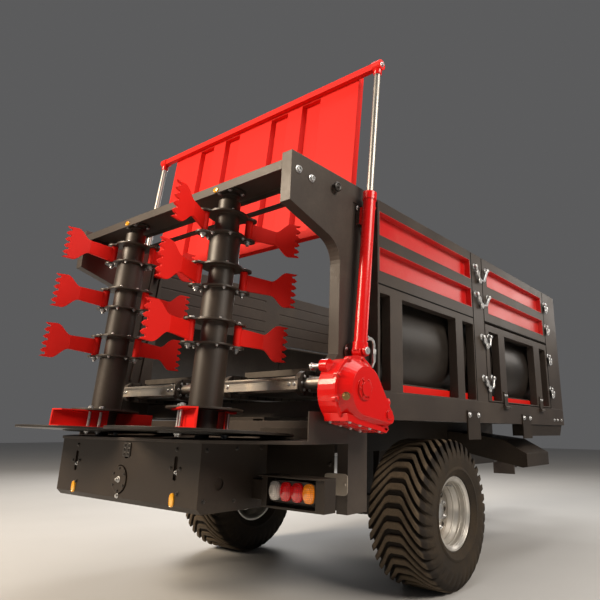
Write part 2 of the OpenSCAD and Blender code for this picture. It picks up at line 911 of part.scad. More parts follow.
module top_beam() {
    y0 = -arm_rear;
    y1 = -arm_rear + beam_depth;
    color(dark) from_eye() difference() {
        union() {
            plate_x(-arm_in, arm_in) polygon([[y0, beam_top - beam_lip], [y0, beam_top], [y1, beam_top],
                [y1, beam_top - beam_lip + 14], [y1 - beam_t, beam_top - beam_lip + 14],
                    [y1 - beam_t, beam_top - beam_t],
                [y0 + beam_t, beam_top - beam_t], [y0 + beam_t, beam_top - beam_lip]]);
            for (s = [-1, 1])
                on_beater(s) translate([0, 0, bearing_z0]) cylinder(r = bearing_r, h = bearing_h);
            block([-arm_in, tie_y, tie_z], [arm_in, tie_y + tie_w, tie_z + tie_w]);
        }
        for (s = [-1, 1])
            on_beater(s) translate([0, 0, bearing_z0 - 1])
                cylinder(r = top_pin_r + run_fit, h = top_pin_l - 1);
    }
}

module gear_housing() {
    half = housing_w / 2;
    color(dark) from_eye() {
        difference() {
            plate_x(-half, half) polygon([[housing_y0, deck_z], [housing_y0, housing_z0 + housing_edge],
                [housing_y0 + housing_edge, housing_z0], [housing_y1, housing_z0], [housing_y1, deck_z]]);
            for (s = [-1, 1])
                plate_y(housing_y0 - 1, housing_y0 + recess_in)
                    round_rect([s * slot_x - slot_w / 2, slot_z[0]],
                        [s * slot_x + slot_w / 2, slot_z[1]], slot_w / 2 - 1);
            rod_y(0, cover_z, cover_r + 5, housing_y0 - 1, housing_y0 + recess_in);
            block([28, housing_y0 - 1, deck_z - 88], [58, housing_y0 + recess_in, deck_z - 58]);
            for (s = [-1, 1])
                rod_x(-beater_y - 16, housing_z0 + 125, 27, s > 0 ? half - recess_in : -half - 1,
                    s > 0 ? half + 1 : recess_in - half);
        }
        rod_y(0, cover_z, cover_r, housing_y0 - 6, housing_y0 + recess_in + 1);
        for (s = [-1, 1])
            on_beater(s) translate([0, 0, deck_z - 4])
                cylinder(r = drive_pin_r, h = tube_z0 + drive_pin_l - deck_z);
    }
}

module spreading_deck() {
    color(dark) from_eye() {
        difference() {
            translate([0, 0, deck_z]) linear_extrude(deck_t)
                polygon([[-housing_w / 2, housing_y0 - 10], [housing_w / 2, housing_y0 - 10],
                    [arm_x, deck_corner_y],
                    [arm_x, rear_y - post_w], [arm_in, rear_y - post_w], [arm_in, rail_rear],
                    [-arm_in, rail_rear], [-arm_in, rear_y - post_w], [-arm_x, rear_y - post_w],
                        [-arm_x, deck_corner_y]]);
            for (s = [-1, 1])
                on_beater(s) translate([0, 0, deck_z - bore_over])
                    cylinder(r = drive_pin_r + pin_fit, h = deck_t + 2 * bore_over);
        }
        block([-arm_in, rail_rear - curtain_t, deck_z + deck_t], [arm_in, rail_rear, deck_lip_z]);
        for (s = [-1, 1]) mirror([s < 0 ? 1 : 0, 0, 0])
            block([arm_x - curtain_t, deck_corner_y + 43, deck_z + deck_t],
                [arm_x, rear_y - post_w, bearing_z[0]]);
    }
}

// The casting's outline round its two shafts, grown by r and tapering to grow - taper, from x0 to x1
module casting(x0, x1, grow, taper) {
    hull() for (c = [[gear_big, gear_big_r], [gear_small, gear_small_r]])
        translate([x0, c[0][0], c[0][1]]) rotate([0, 90, 0])
            cylinder(r1 = c[1] + grow, r2 = c[1] + grow - min(taper, c[1] / 2), h = x1 - x0, $fn = 40);
}

module conveyor_gearbox() {
    cover_x = gear_split + gear_rim_t / 2;
    end_x = gear_split + gear_cover_t;
    sump = [gear_big[0] - 112, gear_small[0] - 8];
    color(red) from_eye() {
        casting(gear_x0, gear_split, 0, 0);
        casting(gear_split - gear_rim_t / 2, cover_x, gear_rim, 0);
        casting(cover_x, end_x, -4, gear_taper);
        rod_x(gear_boss[0], gear_boss[1], gear_boss_r, end_x - 4, end_x + 10);
        rod_x(gear_boss[0], gear_boss[1], gear_boss_r - 16, end_x, end_x + 18);
        rod_x(gear_small[0] - 20, gear_small[1] + 18, gear_plug_r, end_x - 4, end_x + 8);
        plate_x(gear_x0 + 8, gear_split + 40) polygon([[sump[0] - 8, gear_big[1] - 106],
            [sump[0], gear_big[1] - 140],
            [sump[1], gear_small[1] - gear_small_r - 12],
                [sump[1] + 26, gear_small[1] - gear_small_r + 6]]);
        rod_x(gear_big[0] - 128, gear_big[1] + 116, 30, gear_x0, gear_x0 + 46);
        rod_x(conv_y, shaft_z, shaft_r + 12, arm_x + 4, gear_x0 + 1);
        block([arm_x, gear_small[0] - 60, gear_small[1] - 20],
            [gear_x0 + 1, gear_small[0] + 10, gear_small[1] + 60]);
    }
}

// Lift cylinder with its foot bracket and head guide
module lift_cylinder(s) {
    color(red) on_side(s) {
        on_lean() translate([lift_x, 0, 0]) difference() {
            union() {
                cylinder(r = barrel_r, h = barrel_l);
                cylinder(r = gland_r, h = gland_l);
                translate([0, 0, barrel_l - gland_l]) cylinder(r = gland_r, h = gland_l);
                rotate([0, 90, 0]) cylinder(r = foot_r, h = foot_w, center = true);
                for (z = [gland_l + 30, barrel_l - gland_l - 30])
                    translate([0, barrel_r - 6, z]) rotate([-90, 0, 0]) cylinder(r = port_r, h = port_l);
            }
            translate([0, 0, foot_r + 6]) cylinder(r = rod_r + 4, h = barrel_l - gland_l - foot_r - 6);
            translate([0, 0, foot_r + 6]) cylinder(r = rod_r + slide_fit, h = barrel_l);
        }
        rod_x(lift_y, lift_z, foot_pin_r, arm_x, lift_x + foot_pin_end);
        rod_x(lift_y, lift_z, foot_pin_r + 9, lift_x + foot_pin_end - 10, lift_x + foot_pin_end);
        rod_x(lift_y, lift_z, foot_plate_r, arm_x, arm_x + 14);
        on_lean() block([arm_x, -24, barrel_l - 190], [lift_x - barrel_r + 8, 24, barrel_l - 90]);
    }
}

// Tail lamps
module lamp_brackets() {
    x1 = lamp_x0 + lamp_w;
    color(dark) pair() {
        difference() {
            block([lamp_x0, lamp_y, lamp_z[0]], [x1, lamp_y + lamp_depth, lamp_z[1]]);
            block([lamp_x0 + 34, lamp_y - 1, lamp_z[0] + lamp_wall],
                [x1 - lamp_end, lamp_y + lamp_depth - 30, lamp_z[1] - lamp_wall]);
        }
        block([lamp_x0 - 4, lamp_y - hood_l, lamp_z[1] - 6], [x1, lamp_y + lamp_depth, lamp_z[1]]);
        block([housing_w / 2, lamp_y + 10, lamp_z[0] + 30],
            [lamp_x0, lamp_y + lamp_depth - 10, lamp_z[1] - 27]);
    }
}

module tail_lamps() {
    z = (lamp_z[0] + lamp_z[1]) / 2;
    x = lamp_x0 + lamp_w - lamp_end - (lamp_n - 0.3) * lamp_pitch;
    color(lens) pair()
        for (i = [0 : lamp_n - 1])
            plate_y(lamp_y + 6, lamp_y + lamp_depth - 30)
                round_rect([x + i * lamp_pitch - lamp_r, z - lamp_r - lamp_tall],
                    [x + i * lamp_pitch + lamp_r, z + lamp_r + lamp_tall], lamp_r - 2);
}

// An over-centre hook latch: base, eye boss and hook bar that leans along the wall
module latch(y, z, lean) {
    block([half_w, y - 17, z - 40], [half_w + 5, y + 17, z + 40]);
    rod_x(y, z + 24, latch_eye_r, half_w, half_w + 24);
    translate([half_w + 15, y, z + 24]) rotate([lean, 0, 0]) translate([0, 0, -latch_l])
        cylinder(r = latch_bar_r, h = latch_l);
    rod_x(y + latch_l * sin(lean), z + 24 - latch_l * cos(lean), latch_bar_r + 3, half_w, half_w + 24);
}

module latches() {
    upper_z = [lower_top + 148, lower_top + 376];
    lower_z = [sill_top + 130, sill_top + 424];
    color(zinc) pair() {
        for (z = upper_z) {
            latch(mid_post_y + 90, z, 20);
            latch(door_y0 + 72, z + 24, -8);
            latch(front_post_y + 32, z, 0);
        }
        for (z = lower_z) {
            latch(door_y0 - 36, z, -12);
            latch(front_post_y + 32, z, 0);
        }
    }
}

// Wheels: section of the tyre as radius and place across the tread
crown_r = tyre_r - lug_h;
function tyre_arc(a0, a1, n) = [for (i = [0 : n]) let (a = a0 + (a1 - a0) * i / n)
    [bead_r + 60 + (crown_r - bead_r - 60) * pow(abs(cos(a)), 0.42) * sign(cos(a)),
     tyre_w / 2 * pow(abs(sin(a)), 0.62) * sign(sin(a))]];

// Bead of the tyre, seated on the rim inside its flange
function tyre_bead(s) = let (w = rim_w / 2) [[rim_r + 1, s * (w + 8)], [rim_r + 1, s * (w - 7)],
    [bead_r + slide_fit, s * (w - 15)], [bead_r + slide_fit, s * (w - 44)], [bead_r + 40, s * (w - 60)]];

module tyre_section() {
    polygon(concat(tyre_arc(-84, 84, 16),
        tyre_bead(1), [[bead_r + 60, 0]], [for (i = [4 : -1 : 0]) tyre_bead(-1)[i]]));
}

// Half a lug: place across the tread, drop below the crown and lag behind the middle bar in degrees
lug_half = [[48, 0, 1], [104, 0, 10], [tyre_w / 2 - 56, 0, 18], [tyre_w / 2 - 26, 14, 22],
    [tyre_w / 2 - 5, 62, 25]];
lug_steps = concat([for (p = back(lug_half)) [-p[0], p[1], p[2]]], lug_half);

// One chevron lug over the whole tread
module lug() {
    half_a = lug_w / 2 / tyre_r * 180 / PI;
    root = -lug_h - 14;
    section = [[-half_a, root], [half_a, root], [half_a * 0.8, 0], [-half_a * 0.8, 0]];
    pts = [for (p = lug_steps) for (c = section)
        let (r = tyre_r - p[1] + c[1], a = p[2] + c[0]) [p[0], -r * sin(a), r * cos(a)]];
    n = len(lug_steps);
    sides = [for (i = [0 : n - 2]) for (j = [0 : 3])
        [4 * i + j, 4 * i + (j + 1) % 4, 4 * i + 4 + (j + 1) % 4, 4 * i + 4 + j]];
    polyhedron(pts, concat([[3, 2, 1, 0]], sides, [[for (j = [0 : 3]) 4 * (n - 1) + j]]));
}

module tyre(s) {
    color(rubber) on_side(s) translate([wheel_x, 0, axle_z]) {
        rotate([0, 90, 0]) rotate_extrude($fn = 64) tyre_section();
        for (i = [0 : lug_n - 1])
            rotate([i * 360 / lug_n, 0, 0]) lug();
    }
}

module rim(s) {
    w = rim_w / 2;
    color(chrome) on_side(s) translate([wheel_x, 0, axle_z]) rotate([0, 90, 0]) difference() {
        union() {
            rotate_extrude() polygon([[rim_r, -w], [rim_r, -w + 6], [bead_r, -w + 14],
                [bead_r - 2, -w + 60],
                [well_r, -w + 100], [well_r, w - 130], [bead_r - 2, w - 70], [bead_r, w - 14],
                    [rim_r, w - 6], [rim_r, w],
                [rim_r - 12, w], [bead_r - rim_t, w - 10], [bead_r - 2 - rim_t, w - 66],
                    [well_r - rim_t, w - 124],
                [well_r - rim_t, -w + 106], [bead_r - 2 - rim_t, -w + 64], [bead_r - rim_t, -w + 10],
                    [rim_r - 12, -w]]);
            rotate_extrude() polygon([[0, -hub_in], [hub_r + 8, -hub_in], [hub_r + 8, wheel_disc_in - 20],
                [130, wheel_disc_in], [well_r - rim_t + 2, wheel_disc_in],
                [well_r - rim_t + 2, wheel_disc_out], [hub_r, wheel_disc_out],
                    [62, wheel_disc_out + 8], [62, hub_out - 10],
                    [52, hub_out], [0, hub_out]]);
        }
        translate([0, 0, -hub_in - 1]) cylinder(r = spindle_r + run_fit, h = hub_in + 1 + spindle_end + 3);
        for (i = [0 : hand_hole_n - 1]) rotate([0, 0, i * 360 / hand_hole_n])
            translate([(hub_r + well_r) / 2, 0, wheel_disc_in - 30]) cylinder(r = hand_hole_r, h = 60);
    }
}

// Beaters

// Index of a side in the lists that give the right first and the left second
function at(s) = s > 0 ? 0 : 1;

// Height of a knife row, counted from the top
function row_z(i) = row_top - i * knife_pitch;

// A beater's own frame: its foot on the deck, its axis leaning forward
module at_beater(s) { from_eye() on_beater(s) children(); }

// A flange with a lobe at each knife pin
module flange_outline(s) {
    circle(flange_r);
    rotate(pin_turn[at(s)]) {
        square([2 * knife_pin_r, 2 * lobe_r], center = true);
        for (e = [-1, 1]) translate([e * knife_pin_r, 0]) circle(lobe_r);
    }
}

// A beater: a core shaft, wide tubes between the knife rows, a pair of flanges at each row
// and a plate at the foot that clamps the paddles on the disc
module beater(s) {
    half = (flange_gap + flange_t) / 2;
    color(black) at_beater(s) difference() {
        union() {
            translate([0, 0, tube_z0]) cylinder(r = core_r, h = row_z(0) + half - tube_z0);
            translate([0, 0, row_z(0) + half]) cylinder(r = collar_r, h = tube_z1 - row_z(0) - half);
            translate([0, 0, tube_z1]) cylinder(r = top_pin_r, h = top_pin_l - 6);
            translate([0, 0, clamp_z]) cylinder(r = clamp_r, h = clamp_t);
            for (i = [0 : knife_rows - 1]) {
                below = i == knife_rows - 1 ? clamp_z : row_z(i + 1) + half;
                translate([0, 0, below]) cylinder(r = beater_r, h = row_z(i) - half - below);
                for (e = [-1, 1])
                    translate([0, 0, row_z(i) + e * half - flange_t / 2]) linear_extrude(flange_t)
                        flange_outline(s);
                for (t = [0, 180])
                    translate([0, 0, row_z(i)]) rotate(pin_turn[at(s)] + t) translate([knife_pin_r, 0, 0])
                        cylinder(r = knife_bolt_r, h = flange_gap + 1, center = true);
            }
        }
        translate([0, 0, tube_z0 - 1]) cylinder(r = drive_pin_r + run_fit, h = drive_pin_l + 4);
    }
}

// A spreading disc with the stiffening ring under it
module disc(s) {
    color(black) at_beater(s) difference() {
        union() {
            translate([0, 0, disc_z]) cylinder(r = disc_r, h = disc_t, $fn = 96);
            translate([0, 0, disc_z - 8]) difference() {
                cylinder(r = rim_ring_r, h = 9);
                translate([0, 0, -1]) cylinder(r = rim_ring_r - 14, h = 11);
            }
        }
        translate([0, 0, disc_z - 1]) cylinder(r = drive_pin_r + run_fit, h = disc_t + 2);
    }
}

// The outline of a knife's head from its neck: a flare and a row of teeth with round gullets
module knife_head() {
    a = knife_arm_h / 2 - 6;
    h = knife_head_h / 2;
    l = knife_l - knife_neck;
    pitch = knife_head_h / tooth_n;
    flare = [for (i = [0 : 6]) let (t = i / 6) [knife_flare * t, a + (h - a) * (1 - cos(180 * t)) / 2]];
    teeth = [for (i = [0 : tooth_n - 1]) each [[l, h - i * pitch - 3],
        [l - tooth_h, h - (i + 0.5) * pitch]]];
    difference() {
        polygon(concat(flare, teeth, [[l, 3 - h]], [for (p = back(flare)) [p[0], -p[1]]]));
        for (i = [0 : tooth_n - 1]) translate([l - tooth_h + 3, h - (i + 0.5) * pitch]) circle(gullet_r);
    }
}

// A swinging knife along +X from its pin: sleeve, arm and a head bent at the neck
module knife() {
    a = knife_arm_h / 2;
    difference() {
        union() {
            rotate([90, 0, 0]) linear_extrude(knife_t, center = true)
                polygon([[0, -a], [knife_neck, 6 - a], [knife_neck, a - 6], [0, a]]);
            translate([knife_neck, 0, 0]) {
                cylinder(r = knife_t / 2, h = knife_arm_h - 12, center = true);
                rotate([0, 0, knife_bend]) rotate([90, 0, 0]) linear_extrude(knife_t, center = true)
                    knife_head();
            }
            cylinder(r = sleeve_r, h = flange_gap - 1, center = true);
        }
        cylinder(r = knife_bolt_r + slide_fit, h = flange_gap + 2, center = true);
    }
}

module knives(s) {
    color(red) at_beater(s)
        for (i = [0 : knife_rows - 1]) for (j = [0, 1])
            translate([0, 0, row_z(i)]) rotate(pin_turn[at(s)] + 180 * j) translate([knife_pin_r, 0, 0])
                rotate(knife_swing[at(s)][i][j]) knife();
}

// Channel-shaped paddles beside a disc's hub, their webs inward and their outer ends cut back
module paddle() {
    v0 = paddle_off;
    v1 = paddle_off + paddle_d;
    u0 = -paddle_back;
    u1 = paddle_l;
    difference() {
        linear_extrude(paddle_h) polygon([[u0, v0], [u1, v0], [u1 - paddle_d * 0.85, v1], [u0, v1]]);
        block([u0 - 1, v0 + paddle_t, paddle_t], [u1 + 1, v1 + 1, paddle_h - paddle_t]);
        for (u = paddle_bolts)
            translate([u, (v0 + v1) / 2, -1]) cylinder(r = paddle_bolt_r + slide_fit, h = paddle_h + 2);
    }
}

module paddles(s) {
    color(red) at_beater(s) translate([0, 0, tube_z0])
        for (t = [0, 180]) rotate(paddle_turn[at(s)] + t) mirror([0, s > 0 ? 1 : 0, 0]) paddle();
}

// Gate
// Path of the gate's folded sheet across the machine, at depth y
function fold_path(y) = concat([[-gate_w / 2, y]],
    [for (g = [-groove_x[1], -groove_x[0], groove_x[0], groove_x[1]])
    each [[g - groove_w / 2, y], [g - groove_w / 2 + groove_slope, y + groove_d],
        [g + groove_w / 2 - groove_slope, y + groove_d], [g + groove_w / 2, y]]], [[gate_w / 2, y]]);

module gate_panel() {
    half = gate_w / 2;
    y1 = gate_front + gate_t;
    color(red) from_eye() on_lean() {
        translate([0, 0, gate_z0]) linear_extrude(gate_h)
            polygon(concat(fold_path(gate_front), back(fold_path(gate_front + gate_sheet))));
        for (z = [gate_z0, gate_top - gate_rail])
            block([-half, gate_front, z], [half, y1, z + gate_rail]);
        for (x = [-half, half - gate_rail])
            block([x, gate_front, gate_z0], [x + gate_rail, y1, gate_top]);
    }
}

module gate_bar() {
    z = gate_top - bar_h / 2 + bar_t / 4;
    color(red) from_eye() on_lean() {
        block([-lift_x, gate_front - bar_t, gate_top - bar_h + 6], [lift_x, gate_front, gate_top + 6]);
        for (s = [-1, 1])
            translate([s * lift_x, 0, z]) rotate([0, 90, 0])
                cylinder(r = boss_r, h = boss_w, center = true);
    }
}

module gate_rods() {
    z0 = gate_travel + gland_l + 14;
    z1 = gate_top - bar_h / 2 + bar_t / 4;
    color(chrome) from_eye() on_lean()
        for (s = [-1, 1])
            translate([s * lift_x, 0, 0]) difference() {
                translate([0, 0, z0]) cylinder(r = rod_r, h = z1 - z0);
                translate([0, 0, z1]) rotate([0, 90, 0])
                    cylinder(r = boss_r + run_fit, h = boss_w + 2, center = true);
            }
}

chassis_rails();
drawbar();
hitch_eye();
jack_tube();
driveline();
axle_beam();
step_boxes();
floor_frame();
floor_deck();
floor_edging();
conveyor_chains();
conveyor_shaft();
sill(-1);  // sill_left
sill(1);  // sill_right
front_wall();
front_post(-1);  // front_post_left
front_post(1);  // front_post_right
mid_post(-1);  // mid_post_left
mid_post(1);  // mid_post_right
rear_frame(-1);  // rear_frame_left
rear_frame(1);  // rear_frame_right
rear_panel(-1);  // rear_panel_left
rear_panel(1);  // rear_panel_right
rear_board(-1);  // rear_board_left
rear_board(1);  // rear_board_right
front_board(-1);  // front_board_left
front_board(1);  // front_board_right
recess(-1);  // recess_left
recess(1);  // recess_right
arm(-1);  // arm_left
arm(1);  // arm_right
top_beam();
gear_housing();
spreading_deck();
conveyor_gearbox();
lift_cylinder(-1);  // cylinder_left
lift_cylinder(1);  // cylinder_right
lamp_brackets();
tail_lamps();
latches();
tyre(-1);  // tyre_left
tyre(1);  // tyre_right
rim(-1);  // rim_left
rim(1);  // rim_right
beater(-1);  // beater_left
beater(1);  // beater_right
disc(-1);  // disc_left
disc(1);  // disc_right
knives(-1);  // knives_left
knives(1);  // knives_right
paddles(-1);  // paddles_left
paddles(1);  // paddles_right
gate_panel();
gate_bar();
gate_rods();
door_frame(-1);  // door_frame_left
door_frame(1);  // door_frame_right
door_panel(-1);  // door_panel_left
door_panel(1);  // door_panel_right
jack_leg();
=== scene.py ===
# Twin vertical-beater manure spreader: finishes, small hardware, light and camera
import json
import math

import bmesh
import bpy
from mathutils import Matrix, Vector


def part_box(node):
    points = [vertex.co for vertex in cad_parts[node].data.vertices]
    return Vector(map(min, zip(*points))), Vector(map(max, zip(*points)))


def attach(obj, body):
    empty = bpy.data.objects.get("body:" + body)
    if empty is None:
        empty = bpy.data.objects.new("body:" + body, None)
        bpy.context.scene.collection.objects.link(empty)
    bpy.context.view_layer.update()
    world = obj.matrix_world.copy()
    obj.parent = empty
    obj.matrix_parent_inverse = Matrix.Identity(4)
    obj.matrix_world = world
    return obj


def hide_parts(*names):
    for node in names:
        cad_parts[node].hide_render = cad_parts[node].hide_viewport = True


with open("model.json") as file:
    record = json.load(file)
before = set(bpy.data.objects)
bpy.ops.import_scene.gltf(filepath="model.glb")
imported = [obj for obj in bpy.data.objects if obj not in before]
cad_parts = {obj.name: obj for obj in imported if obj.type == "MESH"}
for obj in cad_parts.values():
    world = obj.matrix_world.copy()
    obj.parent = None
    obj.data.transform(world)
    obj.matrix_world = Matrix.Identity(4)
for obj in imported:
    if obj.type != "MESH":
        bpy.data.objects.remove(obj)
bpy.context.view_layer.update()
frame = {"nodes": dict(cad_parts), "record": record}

# The frame's origin is the hitch eye; the ground and the axle lie below and behind it
rim_low, rim_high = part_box("rim_right")
tyre_low, tyre_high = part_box("tyre_right")
GROUND_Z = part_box("jack_leg")[0].z
AXLE_Y = (rim_low.y + rim_high.y) / 2
WHEEL_X = (rim_low.x + rim_high.x) / 2
AXLE_Z = (tyre_low.z + tyre_high.z) / 2 - GROUND_Z
TYRE_R = (tyre_high.z - tyre_low.z) / 2
# Height of the tread's lugs, and the radius of the tread between them
LUG_H = 0.020
CROWN_R = TYRE_R - LUG_H
# Radius of the rim's well; inside it the disc is painted dark brown as painted shade
WELL_R = 0.152
# The lift cylinders' feet are painted like the arms up to here
CLEVIS_X = 1.072
SIDES = {"right": 1, "left": -1}


class Wire:
    """A socket of a finish's node tree, so that sums are written as Python."""

    def __init__(self, finish, socket):
        self.finish = finish
        self.socket = socket

    def math(self, operation, *values):
        sockets = dict(enumerate(values))
        return self.finish.node("ShaderNodeMath", {"operation": operation}, sockets)

    def __add__(self, other):
        return self.math("ADD", self, other)

    def __radd__(self, other):
        return self.math("ADD", other, self)

    def __sub__(self, other):
        return self.math("SUBTRACT", self, other)

    def __rsub__(self, other):
        return self.math("SUBTRACT", other, self)

    def __mul__(self, other):
        return self.math("MULTIPLY", self, other)

    def __rmul__(self, other):
        return self.math("MULTIPLY", other, self)

    def clipped(self):
        return self.math("MINIMUM", self.math("MAXIMUM", self, 0.0), 1.0)


class Finish:
    """One procedural material, built round its Principled shader."""

    def __init__(self, name, **uniform):
        self.material = bpy.data.materials.new(name)
        self.material.use_nodes = True
        self.tree = self.material.node_tree
        self.shader = self.tree.nodes["Principled BSDF"]
        for word, value in uniform.items():
            socket = word.replace("_", " ").title().replace("Ior", "IOR")
            self.shader.inputs[socket].default_value = value

    def node(self, kind, settings=None, sockets=None, out=0):
        """Adds a node: its settings first, then its sockets' values or links."""
        made = self.tree.nodes.new(kind)
        for name, value in (settings or {}).items():
            setattr(made, name, value)
        for key, value in (sockets or {}).items():
            if isinstance(value, Wire):
                self.tree.links.new(value.socket, made.inputs[key])
            else:
                made.inputs[key].default_value = value
        return Wire(self, made.outputs[out])

    def feed(self, socket, wire):
        self.tree.links.new(wire.socket, self.shader.inputs[socket])

    def place(self):
        """Position in the object's own frame, in metres."""
        return self.node("ShaderNodeTexCoord", out="Object")

    def noise(self, scale, detail=3.0, roughness=0.55, stretch=None):
        where = self.place()
        if stretch:
            where = self.node("ShaderNodeVectorMath", {"operation": "MULTIPLY"}, {0: where, 1: stretch})
        sockets = {"Vector": where, "Scale": scale, "Detail": detail, "Roughness": roughness}
        return self.node("ShaderNodeTexNoise", sockets=sockets, out="Fac")

    def between(self, wire, low, high):
        """0 below low, 1 above high, with a soft step between."""
        sockets = {"Value": wire, "From Min": low, "From Max": high}
        return self.node("ShaderNodeMapRange", {"interpolation_type": "SMOOTHSTEP"}, sockets)

    def mix(self, share, first, second):
        """A colour between two, by share."""
        return self.node("ShaderNodeMix", {"data_type": "RGBA"}, {0: share, 6: first, 7: second}, out=2)

    def round_edges(self, radius):
        """Normal of the surface with its edges rounded off."""
        return self.node("ShaderNodeBevel", {"samples": 4}, {"Radius": radius})

    def edges(self, radius):
        """1 along the edges of the solid, 0 on its flats."""
        flat = self.node("ShaderNodeNewGeometry", out="Normal")
        dot = self.node("ShaderNodeVectorMath", {"operation": "DOT_PRODUCT"},
                        {0: self.round_edges(radius), 1: flat}, out="Value")
        return self.between(1.0 - dot, 0.02, 0.22)

    def bump(self, height, strength, distance, normal=None):
        sockets = {"Height": height, "Strength": strength, "Distance": distance}
        if normal:
            sockets["Normal"] = normal
        self.feed("Normal", self.node("ShaderNodeBump", sockets=sockets))


def rgb(red, green, blue):
    return (red, green, blue, 1.0)


# Finishes
PAINT_EDGE = 0.004
MASK_EDGE = 0.001


def sprayed_paint(name, colour, dusty, worn, rough, coat, dust_share, shine, inner=None):
    """Sprayed paint with orange peel, a film of dust and rubbed edges; inner is its colour near the wall."""
    paint = Finish(name, coat_roughness=0.12, specular_ior_level=shine)
    if inner:
        across = paint.node("ShaderNodeSeparateXYZ", sockets={0: paint.place()})
        outside = paint.between(across.math("ABSOLUTE", across), CLEVIS_X - MASK_EDGE, CLEVIS_X)
        colour = paint.mix(outside, inner, colour)
    clouds = paint.noise(2.3, 5.0)
    grit = paint.noise(60.0, 4.0, 0.7)
    dust = paint.between(clouds * 0.7 + grit * 0.3, 0.42, 0.72) * dust_share
    rubbed = paint.edges(PAINT_EDGE) * paint.between(paint.noise(14.0, 4.0), 0.45, 0.62)
    film = paint.mix(dust, colour, dusty)
    paint.feed("Base Color", paint.mix(rubbed, film, worn))
    paint.feed("Roughness", rough + dust * 0.45 + rubbed * 0.1 + (grit - 0.5) * 0.08)
    paint.feed("Coat Weight", (coat - dust * 1.4).clipped())
    paint.bump(paint.noise(420.0, 2.0), 0.05, 0.001, paint.round_edges(PAINT_EDGE))
    return paint.material


def plated_steel():
    """Zinc plate: pale, slightly blue, with a faint spangle."""
    zinc = Finish("zinc_plate", metallic=1.0)
    sockets = {"Vector": zinc.place(), "Scale": 90.0}
    spangle = zinc.node("ShaderNodeTexVoronoi", sockets=sockets, out="Color")
    grey = zinc.node("ShaderNodeSeparateColor", sockets={"Color": spangle})
    stain = zinc.between(zinc.noise(9.0, 4.0), 0.5, 0.75)
    plate = zinc.mix(grey * 0.5, rgb(0.50, 0.51, 0.52), rgb(0.72, 0.73, 0.74))
    zinc.feed("Base Color", zinc.mix(stain * 0.4, plate, rgb(0.34, 0.30, 0.25)))
    zinc.feed("Roughness", 0.30 + grey * 0.12 + stain * 0.2)
    zinc.bump(zinc.noise(260.0), 0.06, 0.001, zinc.round_edges(0.002))
    return zinc.material


def polished_chrome():
    """Hard chrome with a thin film of grease in patches along the rod."""
    chrome = Finish("hard_chrome", metallic=1.0)
    film = chrome.between(chrome.noise(5.0, 4.0), 0.5, 0.8)
    chrome.feed("Base Color", chrome.mix(film * 0.5, rgb(0.31, 0.30, 0.285), rgb(0.25, 0.23, 0.20)))
    chrome.feed("Roughness", 0.42 + film * 0.12)
    chrome.bump(film, 0.04, 0.0005)
    return chrome.material


def off_axle_line(finish):
    """Distance from the line through both wheels' middles."""
    offset = finish.node("ShaderNodeVectorMath", {"operation": "SUBTRACT"},
                         {0: finish.place(), 1: (0.0, AXLE_Y, GROUND_Z + AXLE_Z)})
    spoke = finish.node("ShaderNodeVectorMath", {"operation": "MULTIPLY"}, {0: offset, 1: (0.0, 1.0, 1.0)})
    return finish.node("ShaderNodeVectorMath", {"operation": "LENGTH"}, {0: spoke}, out="Value")


def silver_rim():
    """Silver wheel paint with patches of brown road film, and painted shade that darkens the well and the
    disc.
    """
    rim = Finish("rim_silver", coat_roughness=0.2, metallic=0.75)
    # deep is painted shade: the rim inside the well, disc included, turns dark brown
    deep = 1.0 - rim.between(off_axle_line(rim), WELL_R - 0.012, WELL_R + 0.028)
    film = rim.between(rim.noise(6.0, 5.0, 0.65), 0.46, 0.75)
    flake = rim.noise(900.0, 1.0)
    silver = rim.mix(flake, rgb(0.54, 0.52, 0.48), rgb(0.70, 0.68, 0.64))
    # stain joins the patches of road film and the painted shade of the disc
    stain = (film * 0.5 + deep * 0.55).clipped()
    rim.feed("Base Color", rim.mix(stain, silver, rgb(0.17, 0.135, 0.10)))
    rim.feed("Roughness", 0.30 + stain * 0.35)
    rim.bump(rim.noise(300.0), 0.05, 0.001, rim.round_edges(0.003))
    return rim.material


def field_tyre():
    """Tyre rubber: painted shade in the grooves, worn brown on the lugs, dusty on the walls."""
    tyre = Finish("tyre_rubber", specular_ior_level=0.25)
    radius = off_axle_line(tyre)
    tread = tyre.between(radius, CROWN_R + 0.004, TYRE_R - 0.003)
    # The grooves between the lugs are painted near black: painted shade
    groove_shade = tyre.between(radius, CROWN_R - 0.030, CROWN_R - 0.012) * (1.0 - tread)
    clouds = tyre.noise(5.0, 6.0, 0.62)
    grit = tyre.noise(85.0, 5.0, 0.7)
    dust = tyre.between(clouds * 0.6 + grit * 0.4, 0.38, 0.66)
    wall = tyre.mix(dust * 0.6, rgb(0.020, 0.0150, 0.0105), rgb(0.062, 0.045, 0.028))
    worn = tyre.mix(tread * (0.45 + dust * 0.45), wall, rgb(0.150, 0.112, 0.074))
    tyre.feed("Base Color", tyre.mix(groove_shade * 0.8, worn, rgb(0.011, 0.008, 0.006)))
    tyre.feed("Roughness", 0.70 + dust * 0.22)
    tyre.bump(grit + clouds * 0.6, 0.25, 0.003, tyre.round_edges(0.005))
    return tyre.material


def bare_metal(name, plain, brushed_to, stained):
    """Worn bare metal, brushed along X by what slides over it."""
    metal = Finish(name, metallic=1.0)
    brushed = metal.noise(40.0, 4.0, 0.6, (0.12, 6.0, 6.0))
    stain = metal.between(metal.noise(7.0, 5.0, 0.65), 0.48, 0.72)
    metal.feed("Base Color", metal.mix(stain * 0.7, metal.mix(brushed, plain, brushed_to), stained))
    metal.feed("Roughness", 0.26 + brushed * 0.16 + stain * 0.2)
    metal.bump(brushed, 0.08, 0.0006, metal.round_edges(0.002))
    return metal.material


